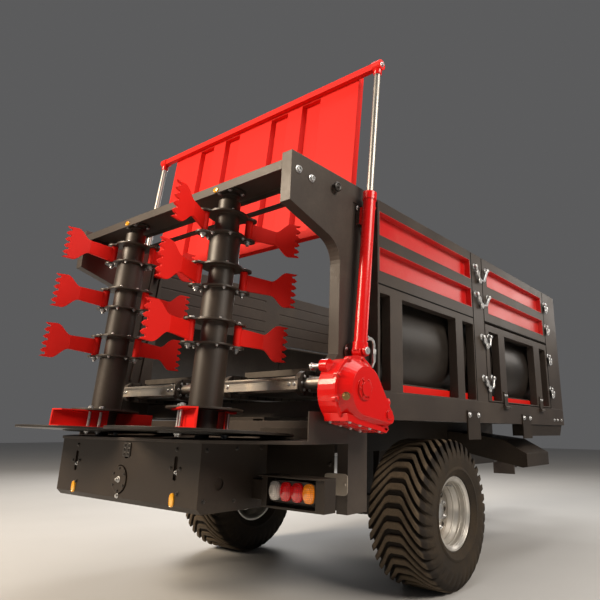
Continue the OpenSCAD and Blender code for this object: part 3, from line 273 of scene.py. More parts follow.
def link_chain():
    """Black chain with its links marked along the run, and painted shade in the gaps between them."""
    chain = Finish("link_chain", metallic=0.6)
    along = chain.node("ShaderNodeTexWave", {"bands_direction": "Y", "wave_profile": "TRI"},
                       {"Vector": chain.place(), "Scale": 4.6}, out="Fac")
    # The gaps between the links are painted near black: painted shade
    gap = chain.between(along, 0.72, 0.95)
    grime = chain.noise(30.0, 5.0, 0.65)
    steel = chain.mix(grime, rgb(0.030, 0.026, 0.022), rgb(0.11, 0.095, 0.08))
    chain.feed("Base Color", chain.mix(gap * 0.8, steel, rgb(0.006, 0.005, 0.005)))
    chain.feed("Roughness", 0.42 + grime * 0.3)
    chain.bump(1.0 - gap + grime * 0.2, 0.6, 0.004, chain.round_edges(0.003))
    return chain.material


def lamp_lens(name, colour, glow):
    """Moulded lens with a fine pattern of prisms, lit a little from behind."""
    lens = Finish(name, coat_weight=1.0, coat_roughness=0.04, emission_strength=glow)
    prism = lens.node("ShaderNodeTexVoronoi", {"distance": "CHEBYCHEV"},
                      {"Vector": lens.place(), "Scale": 120.0, "Randomness": 0.0}, out="Distance")
    deep = rgb(*(0.45 * part for part in colour[:3]))
    shade = lens.mix(lens.between(prism, 0.1, 0.6), colour, deep)
    lens.feed("Base Color", shade)
    lens.feed("Emission Color", shade)
    lens.feed("Roughness", 0.10 + prism * 0.2)
    lens.bump(prism, 0.3, 0.002)
    return lens.material


DUST = rgb(0.20, 0.165, 0.125)
RED_DUST = rgb(0.38, 0.04, 0.03)
RED_WORN = rgb(0.68, 0.06, 0.04)
FRAME_DARK = rgb(0.034, 0.0255, 0.021)

# The record's material slots
SLOT_FINISH = {
    "dark_paint": sprayed_paint("dark_paint", FRAME_DARK, DUST, rgb(0.13, 0.10, 0.08),
                                rough=0.46, coat=0.05, dust_share=0.14, shine=0.36),
    "black_paint": sprayed_paint("black_paint", rgb(0.013, 0.0105, 0.009), DUST, rgb(0.09, 0.075, 0.06),
                                 rough=0.38, coat=0.05, dust_share=0.10, shine=0.45),
    "red_paint": sprayed_paint("red_paint", rgb(0.66, 0.010, 0.006), rgb(0.42, 0.05, 0.03),
                               rgb(0.72, 0.06, 0.04), rough=0.52, coat=0.0, dust_share=0.08, shine=0.14),
    "red_gloss": sprayed_paint("red_gloss", rgb(0.58, 0.005, 0.004), RED_DUST, RED_WORN,
                               rough=0.24, coat=0.30, dust_share=0.06, shine=0.28),
    "zinc": plated_steel(),
    "chrome": polished_chrome(),
    "rim_silver": silver_rim(),
    "rubber": field_tyre(),
    "lens": lamp_lens("lens_red", rgb(0.62, 0.006, 0.008), 0.22),
}

# Nodes that look unlike the rest of their slot
# A darker copy of the dark paint for parts low down and underneath: painted shade
SHADED_UNDER_PAINT = sprayed_paint("under_paint_painted_shade", rgb(0.019, 0.0132, 0.0095), rgb(0.13, 0.10, 0.07),
                            rgb(0.10, 0.075, 0.05), rough=0.48, coat=0.04, dust_share=0.14, shine=0.32)
DRUM_PAINT = sprayed_paint("drum_paint", rgb(0.026, 0.0185, 0.0135), DUST, rgb(0.11, 0.085, 0.06),
                           rough=0.42, coat=0.0, dust_share=0.12, shine=0.50)
RECESS_PAINT = sprayed_paint("recess_paint", rgb(0.50, 0.008, 0.008), rgb(0.55, 0.16, 0.13), RED_WORN,
                             rough=0.30, coat=0.10, dust_share=0.30, shine=0.50)
LIFT_PAINT = sprayed_paint("lift_paint", rgb(0.62, 0.006, 0.006), RED_DUST, RED_WORN,
                           rough=0.26, coat=0.25, dust_share=0.06, shine=0.28, inner=FRAME_DARK)
NODE_FINISH = {
    "conveyor_chains": link_chain(),
    "conveyor_shaft": bare_metal("shaft_steel", rgb(0.42, 0.39, 0.36), rgb(0.62, 0.60, 0.57),
                                 rgb(0.20, 0.155, 0.11)),
}
# The gear housing, lamp brackets, rails, axle beam and step boxes get the darker copy: painted shade
for shaded_node in ("gear_housing", "lamp_brackets", "chassis_rails", "axle_beam", "step_boxes"):
    NODE_FINISH[shaded_node] = SHADED_UNDER_PAINT
for side_name in SIDES:
    NODE_FINISH[f"beater_{side_name}"] = DRUM_PAINT
    NODE_FINISH[f"recess_{side_name}"] = RECESS_PAINT
    NODE_FINISH[f"cylinder_{side_name}"] = LIFT_PAINT

node_slot = {part["node"]: part["material_slot"] for part in frame["record"]["subparts"]}
for node_name, node in frame["nodes"].items():
    node.data.materials.clear()
    node.data.materials.append(NODE_FINISH.get(node_name, SLOT_FINISH[node_slot[node_name]]))


# Places on the machine in metres: X to its right, Y ahead of the axle, Z above the ground


def spot(x, y, z):
    return Vector((x, AXLE_Y + y, GROUND_Z + z))


def node_box(name):
    """A node's lowest and highest corners, as such places."""
    return [corner - Vector((0, AXLE_Y, GROUND_Z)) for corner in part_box(name)]


def facing(place, axis):
    """A frame at a place, its Z along an axis."""
    return Matrix.Translation(place) @ Vector(axis).to_track_quat("Z", "Y").to_matrix().to_4x4()


def slide(x, y, z):
    return Matrix.Translation((x, y, z))


def turned(degrees):
    return Matrix.Rotation(math.radians(degrees), 4, "Z")


def spread(count, start=0.0):
    """Frames turned evenly about Z, the first one by the start in degrees."""
    return [turned(start + 360.0 * i / count) for i in range(count)]


def round_angles(count, start=0.0):
    """Angles spaced evenly round a turn; start is a share of one step."""
    return [math.tau * (i + start) / count for i in range(count)]


def squared(share, corner):
    """A sine or cosine pushed towards a rounded rectangle."""
    return math.copysign(abs(share) ** corner, share)


FLIP = Matrix.Rotation(math.pi, 4, "X")
AHEAD = (0, 1, 0)
BACK = (0, -1, 0)
RIGHT = (1, 0, 0)
DOWN = (0, 0, -1)


def rear_face(x, y, z):
    """A frame on a rear face, looking back."""
    return facing(spot(x, y, z), BACK)


def side_face(side, x, y, z):
    """A frame on a side face, looking out; x is its distance from the middle."""
    return facing(spot(side * x, y, z), (side, 0, 0))


# How deep a small piece sits in what carries it
SEAT = 0.001
SMOOTH_BELOW = math.radians(38.0)


class Stock:
    """Small shapes gathered into one piece of the machine."""

    def __init__(self):
        self.mesh = bmesh.new()

    def skin(self, rings, closed=False):
        """Faces between rings of points; the ends are capped unless the last ring meets the first."""
        rows = [[self.mesh.verts.new(point) for point in ring] for ring in rings]
        pairs = list(zip(rows, rows[1:]))
        if closed:
            pairs.append((rows[-1], rows[0]))
        else:
            self.mesh.faces.new(rows[0])
            self.mesh.faces.new(rows[-1])
        for ring, after in pairs:
            for i, point in enumerate(ring):
                j = (i + 1) % len(ring)
                self.mesh.faces.new((point, ring[j], after[j], after[i]))

    def lathe(self, home, profile, steps=24, closed=False):
        """A turned shape: points of radius and height, turned about the home frame's Z."""
        turns = round_angles(steps)
        self.skin([[home @ Vector((radius * math.cos(a), radius * math.sin(a), height)) for a in turns]
                   for radius, height in profile], closed)

    def oval(self, home, half_x, half_y, profile, corner=0.8):
        """A moulded oval: each layer has a share of the outline and a height; a small corner squares it."""
        outline = [(half_x * squared(math.cos(a), corner), half_y * squared(math.sin(a), corner))
                   for a in round_angles(32)]
        self.skin([[home @ Vector((share * x, share * y, height)) for x, y in outline]
                   for share, height in profile])

    def rod(self, path, radius, steps=10):
        """A round bar bent along a path."""
        rings = []
        side = (path[1] - path[0]).orthogonal()
        for i, point in enumerate(path):
            ahead = (path[min(i + 1, len(path) - 1)] - path[max(i - 1, 0)]).normalized()
            side = (side - ahead * side.dot(ahead)).normalized()
            other = ahead.cross(side)
            rings.append([point + radius * (math.cos(a) * side + math.sin(a) * other)
                          for a in round_angles(steps)])
        self.skin(rings)

    def bolt(self, home, size):
        """A hexagon head on its washer; size is the head's radius."""
        washer = [(1.30 * size, -SEAT), (1.30 * size, 0.14 * size), (1.22 * size, 0.20 * size)]
        head = [(size, 0.18 * size), (size, 0.72 * size), (0.84 * size, 0.88 * size)]
        self.lathe(home, washer, 20)
        self.lathe(home, head, 6)

    def nut(self, home, size):
        """A nut on its washer, with the end of the thread standing out."""
        thread = [(0.56 * size, 0.8 * size), (0.56 * size, 1.4 * size), (0.44 * size, 1.5 * size)]
        self.bolt(home, size)
        self.lathe(home, thread, 12)

    def eye(self, home, radius, bar):
        """A round bar bent into a ring."""
        section = [(radius + bar * math.cos(a), bar * math.sin(a)) for a in round_angles(10)]
        self.lathe(home, section, 20, closed=True)

    def done(self, name, finish, slot, body, *replaced):
        """Makes the piece, rides it on its body and hides the parts it stands for; its slot is not used."""
        bmesh.ops.recalc_face_normals(self.mesh, faces=self.mesh.faces)
        shape = bpy.data.meshes.new(name)
        self.mesh.to_mesh(shape)
        self.mesh.free()
        shape.shade_smooth()
        shape.set_sharp_from_angle(angle=SMOOTH_BELOW)
        shape.materials.append(finish)
        piece = bpy.data.objects.new(name, shape)
        bpy.context.scene.collection.objects.link(piece)
        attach(piece, body)
        if replaced:
            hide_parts(*replaced)

    def done_plain(self, name, slot, body, *replaced):
        """Makes a piece in the plain finish of its slot."""
        self.done(name, SLOT_FINISH[slot], slot, body, *replaced)


# Wheels
TYRE_HALF = 0.208
RIM_R = (rim_high.z - rim_low.z) / 2
RIM_HALF = (rim_high.x - rim_low.x) / 2
BEAD_R = RIM_R - 0.019
SHOULDER_R = BEAD_R + 0.060
CROWN_POWER = 0.42
WIDTH_POWER = 0.62
# The raised guard on the tyre's wall: radius, place across the tread
RIM_GUARD = [(0.272, 0.2015), (0.266, 0.2065), (0.256, 0.2070), (0.250, 0.2010), (0.236, 0.193)]
LUG_COUNT = 38
# Half a lug: place across the tread, drop below the tyre's full radius, lag in degrees
LUG_HALF = [(0.040, 0.0, 0.4), (0.060, 0.0, 2.0), (0.105, 0.0, 10.0), (0.150, 0.0, 17.5),
            (0.172, 0.006, 20.5), (0.186, 0.020, 22.5), (0.197, 0.042, 24.0), (0.203, 0.062, 25.0),
            (0.2065, 0.088, 26.5)]
# A lug's section: share of its half width, height from its top
LUG_SECTION = [(-1.16, -0.034), (-0.93, -0.005), (-0.76, 0.0), (0.76, 0.0), (0.93, -0.005), (1.16, -0.034)]
LUG_HALF_ANGLE = 0.021 / TYRE_R
DISC_FACE = 0.040
HUB_FACE = 0.061
STUD_COUNT = 8
STUD_R = 0.106
HUB_BOLT_R = 0.072
VALVE_TURN = 63.025
VALVE_R = 0.168
# Rolled beads of the rim: radius, place across the wheel
RIM_BEADS = [(0.1885, 0.150), (0.1878, 0.118), (0.170, 0.077)]


def wheel_frame(side):
    return side_face(side, WHEEL_X, 0.0, AXLE_Z)


def carcass_profile():
    """The tyre's section without its lugs: radius and place across the tread, as a closed loop."""
    crown = []
    for degrees in range(-84, 85, 4):
        a = math.radians(degrees)
        radius = SHOULDER_R + (CROWN_R - SHOULDER_R) * abs(math.cos(a)) ** CROWN_POWER
        crown.append((radius, TYRE_HALF * squared(math.sin(a), WIDTH_POWER)))
    bead = [(RIM_R + 0.001, RIM_HALF + 0.008), (RIM_R + 0.001, RIM_HALF - 0.007), (BEAD_R, RIM_HALF - 0.015),
            (BEAD_R, RIM_HALF - 0.044), (BEAD_R + 0.040, RIM_HALF - 0.060)]
    wall = RIM_GUARD + bead
    inner = [(BEAD_R + 0.060, 0.0)]
    return crown + wall + inner + [(radius, -across) for radius, across in reversed(wall)]


def lug_rings(middle, turn):
    """Rings of one chevron lug over the whole tread."""
    stations = [(-across, drop, lag) for across, drop, lag in reversed(LUG_HALF)] + LUG_HALF
    rings = []
    for across, drop, lag in stations:
        ring = []
        for share, height in LUG_SECTION:
            a = turn + math.radians(lag) + share * LUG_HALF_ANGLE
            radius = TYRE_R - drop + height
            ring.append(middle + Vector((across, radius * -math.sin(a), radius * math.cos(a))))
        rings.append(ring)
    return rings


def fit_tyre(name, side):
    tyre = Stock()
    tyre.lathe(wheel_frame(side), carcass_profile(), 128, closed=True)
    middle = spot(side * WHEEL_X, 0.0, AXLE_Z)
    for turn in round_angles(LUG_COUNT):
        tyre.skin(lug_rings(middle, turn))
    tyre.done_plain(f"tyre_tread_{name}", "rubber", f"wheel_{name}", f"tyre_{name}")


def fit_wheel_nuts(name, side):
    """Nuts on the studs, bolts round the hub, the hub's cap and the tyre's valve."""
    nuts = Stock()
    hub = wheel_frame(side)
    for turn in spread(STUD_COUNT, 180.0 / STUD_COUNT):
        nuts.nut(hub @ turn @ slide(STUD_R, 0, DISC_FACE), 0.015)
    for turn in spread(6):
        nuts.bolt(hub @ turn @ slide(HUB_BOLT_R, 0, DISC_FACE + 0.005), 0.008)
    cap = [(0.050, 0.0), (0.050, 0.010), (0.042, 0.016), (0.020, 0.019)]
    nuts.lathe(hub @ slide(0, 0, HUB_FACE), cap, 32)
    valve = [(0.005, -0.01), (0.005, 0.035), (0.007, 0.036), (0.007, 0.052), (0.004, 0.054)]
    nuts.lathe(hub @ turned(VALVE_TURN) @ slide(VALVE_R, 0, 0.072), valve, 12)
    nuts.done_plain(f"wheel_nuts_{name}", "zinc", f"wheel_{name}")


def fit_rim_bands(name, side):
    """Rolled beads inside the rim, and the lip over the tyre's bead."""
    bands = Stock()
    hub = wheel_frame(side)
    for radius, place in RIM_BEADS:
        bead = [(radius + 0.004, place - 0.007), (radius - 0.003, place - 0.003),
                (radius - 0.003, place + 0.003), (radius + 0.004, place + 0.007)]
        bands.lathe(hub, bead, 64, closed=True)
    lip = [(RIM_R - 0.001, RIM_HALF - 0.006), (RIM_R + 0.001, RIM_HALF), (RIM_R - 0.003, RIM_HALF + 0.0035),
           (RIM_R - 0.010, RIM_HALF + 0.0035), (RIM_R - 0.013, RIM_HALF - 0.001)]
    bands.lathe(hub, lip, 96, closed=True)
    bands.done_plain(f"rim_bands_{name}", "rim_silver", f"wheel_{name}")


# Beaters: their feet stand on the discs, and their axes lean ahead
drum_low, drum_high = node_box("beater_right")
beam_low, beam_high = node_box("top_beam")
BEATER_X = (drum_low.x + drum_high.x) / 2
BEATER_Y = -1.500
DISC_TOP = 0.917
DISC_T = 0.012
BEATER_LEAN = math.radians(2.7)
KNIFE_ROWS = [1.099, 0.794, 0.489]
KNIFE_PIN_R = 0.125
FLANGE_OUT = 0.0675
FLANGE_BOLT_R = 0.098
FLANGE_BOLT_SIZE = 0.0085
PIN_TURN = {"right": 65.0, "left": 40.0}
PADDLE_TURN = {"right": 336.0, "left": 241.0}
PADDLE_BOLTS = [0.022, 0.080]
PADDLE_BOLT_SIZE = 0.015
PADDLE_MIDDLE = 0.129
PADDLE_H = 0.098
CLAMP_T = 0.010
BEAM_T = 0.008
BEAM_UNDER = beam_high.z - BEAM_T


def beater_frame(side):
    foot = Matrix.Translation(spot(side * BEATER_X, BEATER_Y, DISC_TOP))
    return foot @ Matrix.Rotation(-BEATER_LEAN, 4, "X")


def fit_beater(name, side):
    """Pivot bolts of the knives, bolts round the flanges and the clamped paddles' long bolts."""
    bolts = Stock()
    home = beater_frame(side)
    over = slide(0, 0, FLANGE_OUT)
    under = slide(0, 0, -FLANGE_OUT) @ FLIP
    for row in KNIFE_ROWS:
        for turn in spread(2, PIN_TURN[name]):
            pin = home @ turn @ slide(KNIFE_PIN_R, 0, row)
            bolts.bolt(pin @ over, 0.014)
            bolts.nut(pin @ under, 0.016)
        for turn in spread(6, PIN_TURN[name] + 30.0):
            hole = home @ turn @ slide(FLANGE_BOLT_R, 0, row)
            bolts.bolt(hole @ over, FLANGE_BOLT_SIZE)
            bolts.nut(hole @ under, FLANGE_BOLT_SIZE)
    shank = [(0.0088, 0.006), (0.0088, PADDLE_H - 0.006)]
    for turn in spread(2, PADDLE_TURN[name]):
        for along in PADDLE_BOLTS:
            hole = home @ turn @ slide(along, -side * PADDLE_MIDDLE, 0)
            bolts.bolt(hole @ slide(0, 0, PADDLE_H + CLAMP_T), PADDLE_BOLT_SIZE)
            bolts.lathe(hole, shank, 16)
            bolts.nut(hole @ slide(0, 0, -DISC_T) @ FLIP, PADDLE_BOLT_SIZE)
    bolts.done_plain(f"beater_bolts_{name}", "zinc", f"beater_drum_{name}")


def fit_top_bearings():
    """Flanged bearings under the top beam, each with four bolts."""
    plates = Stock()
    bolts = Stock()
    reach = (BEAM_UNDER - DISC_TOP) / math.cos(BEATER_LEAN)
    flange = [(0.078, -SEAT), (0.078, 0.010), (0.070, 0.014), (0.054, 0.016), (0.052, 0.034)]
    for side in SIDES.values():
        seat = spot(side * BEATER_X, BEATER_Y + reach * math.sin(BEATER_LEAN), BEAM_UNDER)
        head = facing(seat, DOWN)
        plates.lathe(head, flange, 32)
        for turn in spread(4, 45.0):
            bolts.bolt(head @ turn @ slide(0.064, 0, 0.014), 0.010)
    plates.done_plain("top_bearing_flanges", "black_paint", "chassis")
    bolts.done_plain("top_bearing_bolts", "zinc", "chassis")


# Reflectors and lamps
housing_low, housing_high = node_box("gear_housing")
BEAM_REAR = beam_low.y
BEAM_MARKS_X = (-0.427, 0.464)
BEAM_MARK_Z = 2.208
COVER_T = 0.006
HOUSING_REAR = housing_low.y + COVER_T
HOUSING_MARKS_X = (-0.458, 0.463)
HOUSING_MARK_Z = 0.606
LAMP_FACE = node_box("tail_lamps")[0].y
LAMP_SEAT = LAMP_FACE + 0.006
LAMP_X = [0.812 + 0.072 * i for i in range(4)]
LAMP_Z = 0.648
LENS_HALF = (0.0345, 0.043)
LENS_DOME = [(1.0, -0.040), (1.0, 0.008), (0.95, 0.015), (0.88, 0.016), (0.82, 0.021), (0.62, 0.028),
             (0.35, 0.032), (0.12, 0.033)]


def fit_reflectors():
    marks = Stock()
    moulding = [(1.0, -SEAT), (1.0, 0.004), (0.93, 0.007), (0.86, 0.0055), (0.5, 0.0065)]
    for x in BEAM_MARKS_X:
        marks.oval(rear_face(x, BEAM_REAR, BEAM_MARK_Z), 0.020, 0.014, moulding)
    for x in HOUSING_MARKS_X:
        marks.oval(rear_face(x, HOUSING_REAR, HOUSING_MARK_Z), 0.017, 0.031, moulding)
    # The reflectors are given a glow though no lamp lights them: painted light
    amber = lamp_lens("reflector_amber_painted_glow", rgb(0.95, 0.42, 0.01), 0.25)
    marks.done("rear_reflectors", amber, "lens", "chassis")


def fit_tail_lamps():
    """Rows of oval lenses, clear, red, red and amber from the inside out, each row in a dark tray."""
    clear = lamp_lens("lens_clear", rgb(0.62, 0.56, 0.50), 0.06)
    amber = lamp_lens("lens_amber", rgb(0.95, 0.26, 0.01), 0.25)
    red = SLOT_FINISH["lens"]
    for name, lens, order in (("clear", clear, [0]), ("red", red, [1, 2]), ("amber", amber, [3])):
        lenses = Stock()
        for side in SIDES.values():
            for i in order:
                lenses.oval(rear_face(side * LAMP_X[i], LAMP_SEAT, LAMP_Z), *LENS_HALF, LENS_DOME)
        lenses.done(f"lamp_lenses_{name}", lens, "lens", "chassis", "tail_lamps")
    trays = Stock()
    rim = [(1.0, -0.040), (1.0, 0.004), (0.985, 0.008), (0.95, 0.008), (0.94, 0.004)]
    half_x = (LAMP_X[-1] - LAMP_X[0]) / 2 + LENS_HALF[0] + 0.005
    half_z = LENS_HALF[1] + 0.006
    for side in SIDES.values():
        middle = side * (LAMP_X[0] + LAMP_X[-1]) / 2
        trays.oval(rear_face(middle, LAMP_SEAT, LAMP_Z), half_x, half_z, rim, corner=0.3)
    trays.done_plain("lamp_trays", "black_paint", "chassis")


# Body: bolts, near-black seam strips and latches on the walls, arms and posts; the strips are painted shade
# in the gaps
board_low, board_high = node_box("rear_board_right")
post_low, post_high = node_box("mid_post_right")
door_board_low, door_board_high = node_box("front_board_right")
lift_low, lift_high = node_box("cylinder_right")
WALL_X = post_high.x
ARM_X = lift_low.x
BRACKET_X = node_box("step_boxes")[1].x
BRACKET_BOLTS_Y = (0.165, 0.300, 1.150, 1.285)
BRACKET_BOLT_Z = 1.030
SILL_BOLTS_Y = (1.924, 2.018, 2.131)
SILL_BOLT_Z = 1.027
BEAM_SCREWS = ((-1.487, 2.187), (-1.387, 2.174))
SEAM_IN = 0.0025
SEAM_Y = [post_low.y + SEAM_IN, post_high.y - SEAM_IN, door_board_high.y + SEAM_IN]
SEAM_FOOT = post_low.z + 0.006
SEAM_TOP = post_high.z - 0.005
SEAM_Z = board_low.z
SEAM_STRIP_SHORT = 0.004
# Level seams: where they start and end, and their height
LEVEL_SEAMS = [(board_low.y + 0.006, board_high.y - SEAM_STRIP_SHORT, SEAM_Z),
               (door_board_low.y + SEAM_STRIP_SHORT, door_board_high.y - SEAM_STRIP_SHORT, SEAM_Z + 0.005)]
SEAM_STRIP_HALF = 0.0055
# A seam strip's section: share of its half width, how far it stands out
SEAM_STRIP_LIP = [(-1.0, -0.002), (-0.8, 0.001), (0.0, 0.002), (0.8, 0.001), (1.0, -0.002)]
STRAP_X = 1.125
STRAP_Z = 1.188
HINGE_Y = [0.807, 1.590]
LATCH_OUT = 0.0175
LATCH_BAR = 0.0105
# Each latch is a bent bar from eye to hook: places ahead of the axle, and heights
BOARD_LATCHES = [((0.368, 2.112), (0.430, 2.014), (0.505, 2.026), (0.571, 2.122)),
                 ((0.372, 1.901), (0.446, 1.824), (0.520, 1.836), (0.581, 1.910)),
                 ((1.885, 2.095), (1.893, 2.030), (1.915, 2.020), (1.921, 2.064)),
                 ((1.885, 1.880), (1.893, 1.820), (1.915, 1.812), (1.921, 1.851)),
                 ((1.885, 1.600), (1.893, 1.540), (1.915, 1.530), (1.921, 1.570)),
                 ((1.885, 1.300), (1.893, 1.240), (1.915, 1.230), (1.921, 1.270))]
DOOR_LATCHES = [((0.440, 1.589), (0.500, 1.530), (0.545, 1.538), (0.562, 1.605)),
                ((0.436, 1.291), (0.505, 1.220), (0.560, 1.232), (0.582, 1.302))]


def fit_body_bolts():
    """Bolts of the wall brackets and sills, and the round screws where the arms hold the top beam."""
    bolts = Stock()
    washer = [(0.021, -SEAT), (0.021, 0.004), (0.019, 0.005)]
    socket_head = [(0.0155, 0.004), (0.0155, 0.013), (0.0135, 0.015), (0.0085, 0.015), (0.008, 0.007)]
    for side in SIDES.values():
        for y in BRACKET_BOLTS_Y:
            bolts.bolt(side_face(side, BRACKET_X, y, BRACKET_BOLT_Z), 0.014)
        for y in SILL_BOLTS_Y:
            bolts.bolt(side_face(side, WALL_X, y, SILL_BOLT_Z), 0.010)
        for y, z in BEAM_SCREWS:
            head = side_face(side, ARM_X, y, z)
            bolts.lathe(head, washer, 28)
            bolts.lathe(head, socket_head, 24)
    bolts.done_plain("body_bolts", "zinc", "chassis")


def fit_seam_shade_strips():
    """Near-black strips in the seams between posts, boards and frames: painted shade for the gaps there."""
    shade_strips = Stock()
    for side in SIDES.values():
        for y in SEAM_Y:
            shade_strips.skin([[spot(side * (WALL_X + out), y + share * SEAM_STRIP_HALF, z) for share, out in SEAM_STRIP_LIP]
                        for z in (SEAM_FOOT, SEAM_TOP)])
        for start, end, z in LEVEL_SEAMS:
            shade_strips.skin([[spot(side * (WALL_X + out), y, z + share * SEAM_STRIP_HALF) for share, out in SEAM_STRIP_LIP]
                        for y in (start, end)])
    # The strips are painted near black and matte: painted shade in the gaps
    rubber = sprayed_paint("seam_strip_shade", rgb(0.004, 0.0036, 0.0032), rgb(0.02, 0.016, 0.012),
                           rgb(0.02, 0.018, 0.016), rough=0.75, coat=0.0, dust_share=0.05, shine=0.10)
    shade_strips.done("seam_shade_strips", rubber, "rubber", "chassis")


def fit_door_bolts(name, side):
    """Two bolts through the strap of each door hinge, and the door's seats for its latches."""
    bolts = Stock()
    for y in HINGE_Y:
        for along in (-0.017, 0.017):
            bolts.bolt(side_face(side, STRAP_X, y + along, STRAP_Z), 0.008)
    seat = [(0.024, -SEAT), (0.024, 0.004), (0.018, 0.006)]
    for *_, (y, z) in DOOR_LATCHES:
        bolts.lathe(side_face(side, WALL_X, y, z), seat, 20)
    bolts.done_plain(f"door_bolts_{name}", "zinc", f"door_{name}")


def fit_latches():
    """Hook latches: a bent bar from eye to eye across each seam."""
    bars = Stock()
    knob = [(0.016, 0.007), (0.016, 0.009), (0.015, 0.026), (0.011, 0.030)]
    boss = [(0.024, -SEAT), (0.024, 0.005), *knob]
    for side in SIDES.values():
        out = (side, 0, 0)
        for latch in BOARD_LATCHES + DOOR_LATCHES:
            path = [spot(side * (WALL_X + LATCH_OUT), y, z) for y, z in latch]
            bars.rod(path, LATCH_BAR)
            bars.lathe(side_face(side, WALL_X, *latch[0]), boss, 20)
            hook = knob if latch in DOOR_LATCHES else boss
            bars.lathe(side_face(side, WALL_X, *latch[-1]), hook, 20)
            bars.eye(facing(path[1], out), 0.017, 0.008)
            bars.eye(facing(path[0].lerp(path[1], 0.45), out), 0.017, 0.0075)
    bars.done_plain("hook_latches", "zinc", "chassis", "latches")


# Feet of the rear posts, and dark guards between them and the rails, which close the opening there with
# painted shade
POST_REAR = -1.049
POST_PLATE = (0.971, 0.669)
POST_PLATE_HALF = (0.074, 0.051)
arm_low, arm_high = node_box("arm_right")
RAIL_X = node_box("chassis_rails")[1].x - SEAT
POST_IN_X = arm_low.x + SEAT
GUARD_T = 0.005
GUARD_LIP = 0.034
GUARD_FOOT = 0.660
GUARD_TOP = 0.935
GUARD_BOLT_IN = 0.025
GUARD_BOLTS = [(RAIL_X + GUARD_BOLT_IN, 0.81), (RAIL_X + GUARD_BOLT_IN, 0.90),
               (POST_IN_X - GUARD_BOLT_IN, 0.76), (POST_IN_X - GUARD_BOLT_IN, 0.90)]


def fit_post_plates():
    """Galvanised plates on the rear faces of the posts' feet."""
    plates = Stock()
    x, z = POST_PLATE
    for side in SIDES.values():
        home = rear_face(side * x, POST_REAR, z)
        plates.oval(home, *POST_PLATE_HALF, [(1.0, -SEAT), (1.0, 0.002), (0.985, 0.003)], corner=0.3)
        for across in (-0.060, 0.060):
            plates.bolt(home @ slide(across, 0, 0.003), 0.006)
    galvanised = sprayed_paint("galvanised", rgb(0.34, 0.30, 0.25), DUST, rgb(0.40, 0.37, 0.32),
                               rough=0.42, coat=0.0, dust_share=0.3, shine=0.6)
    plates.done("post_plates", galvanised, "zinc", "chassis")


def fit_shade_guards():
    """Dark folded guards from the rails to the posts, in the darker copy of the dark paint: painted shade
    over the opening between them.
    """
    guards = Stock()
    fold = [(0.0, GUARD_TOP), (0.0, GUARD_FOOT), (GUARD_LIP, GUARD_FOOT), (GUARD_LIP, GUARD_FOOT + GUARD_T),
            (GUARD_T, GUARD_FOOT + GUARD_T), (GUARD_T, GUARD_TOP)]
    for side in SIDES.values():
        guards.skin([[spot(side * x, POST_REAR + y, z) for y, z in fold] for x in (RAIL_X, POST_IN_X)])
        for x, z in GUARD_BOLTS:
            guards.bolt(rear_face(side * x, POST_REAR, z), 0.008)
    guards.done("shade_guards", SHADED_UNDER_PAINT, "dark_paint", "chassis")


# Conveyor gearbox on the right side
GEAR_X0 = ARM_X + 0.018
GEAR_SPLIT = 1.172
# Its two round ends: Y, Z and radius
GEAR_BIG = (-1.155, 1.108, 0.160)
GEAR_SMALL = (-0.952, 0.985, 0.058)
BIG_RIM_BOLTS = (35, 75, 115, 155, 195, 235)
SMALL_RIM_BOLTS = (-80, -25, 40)
COVER_CAP = (1.248, -1.180, 1.116)
COVER_CAP_R = 0.043
GEAR_LUG_X = 1.160
GEAR_LUG = ((-0.940, 1.012), (-0.908, 1.064))
# Round ends of the lug and of the foot: X, Y, Z and radius
GEAR_EYES = [(1.132, -0.908, 1.064, 0.022), (1.150, -0.958, 0.940, 0.024)]
SUMP_X = (1.082, 1.200)
SUMP_START = (-1.240, 0.9634)
SUMP_SLOPE = (0, 0.307, -0.053)
SUMP_STEP = 0.080
GEAR_EAR = (-1.283, 1.224)
PLUG_X = 1.2115
PLUG_R = 0.1325
PLUG_TURN = math.radians(193.0)
PLUG_REAR = 0.832
PLUG_OUT = 0.555


def fit_gearbox_bosses():
    """Bolted bosses round the cover's rim, the bolts of its cap, and a lug and a foot with round ends."""
    cover = Stock()
    boss = [(0.016, -0.006), (0.016, 0.014), (0.013, 0.016)]
    rim = [(*GEAR_BIG, a) for a in BIG_RIM_BOLTS] + [(*GEAR_SMALL, a) for a in SMALL_RIM_BOLTS]
    for y, z, radius, degrees in rim:
        a = math.radians(degrees)
        place = spot(GEAR_SPLIT - 0.008, y + radius * math.cos(a), z + radius * math.sin(a))
        cover.lathe(facing(place, RIGHT), boss, 20)
        cover.bolt(facing(place + Vector((boss[-1][1], 0, 0)), RIGHT), 0.010)
    x, y, z = COVER_CAP
    for a in round_angles(6):
        place = spot(x, y + COVER_CAP_R * math.cos(a), z + COVER_CAP_R * math.sin(a))
        cover.bolt(facing(place, RIGHT), 0.006)
    cover.rod([spot(GEAR_LUG_X, y, z) for y, z in GEAR_LUG], 0.019, 16)
    for x, y, z, radius in GEAR_EYES:
        eye = [(radius - 0.003, 0.0), (radius, 0.003), (radius, 0.058), (0.014, 0.062)]
        cover.lathe(facing(spot(x, y, z), RIGHT), eye, 24)
    cover.done_plain("gearbox_bosses", "red_gloss", "chassis")


def fit_gearbox_bolts():
    """Bolts under the sump and the stud on the inner side's ear."""
    pale = Stock()
    slope = Vector(SUMP_SLOPE).normalized()
    below = Vector((0, slope.z, -slope.y))
    for x in SUMP_X:
        for i in range(4):
            pale.bolt(facing(spot(x, *SUMP_START) + slope * SUMP_STEP * i, below), 0.0075)
    ear = facing(spot(GEAR_X0 + SEAT, *GEAR_EAR), (-1, 0, 0))
    stud = [(0.020, 0.0), (0.020, 0.006), (0.012, 0.007), (0.012, 0.060), (0.018, 0.061), (0.018, 0.070)]
    pale.lathe(ear, stud, 20)
    pale.done_plain("gearbox_bolts", "zinc", "chassis")


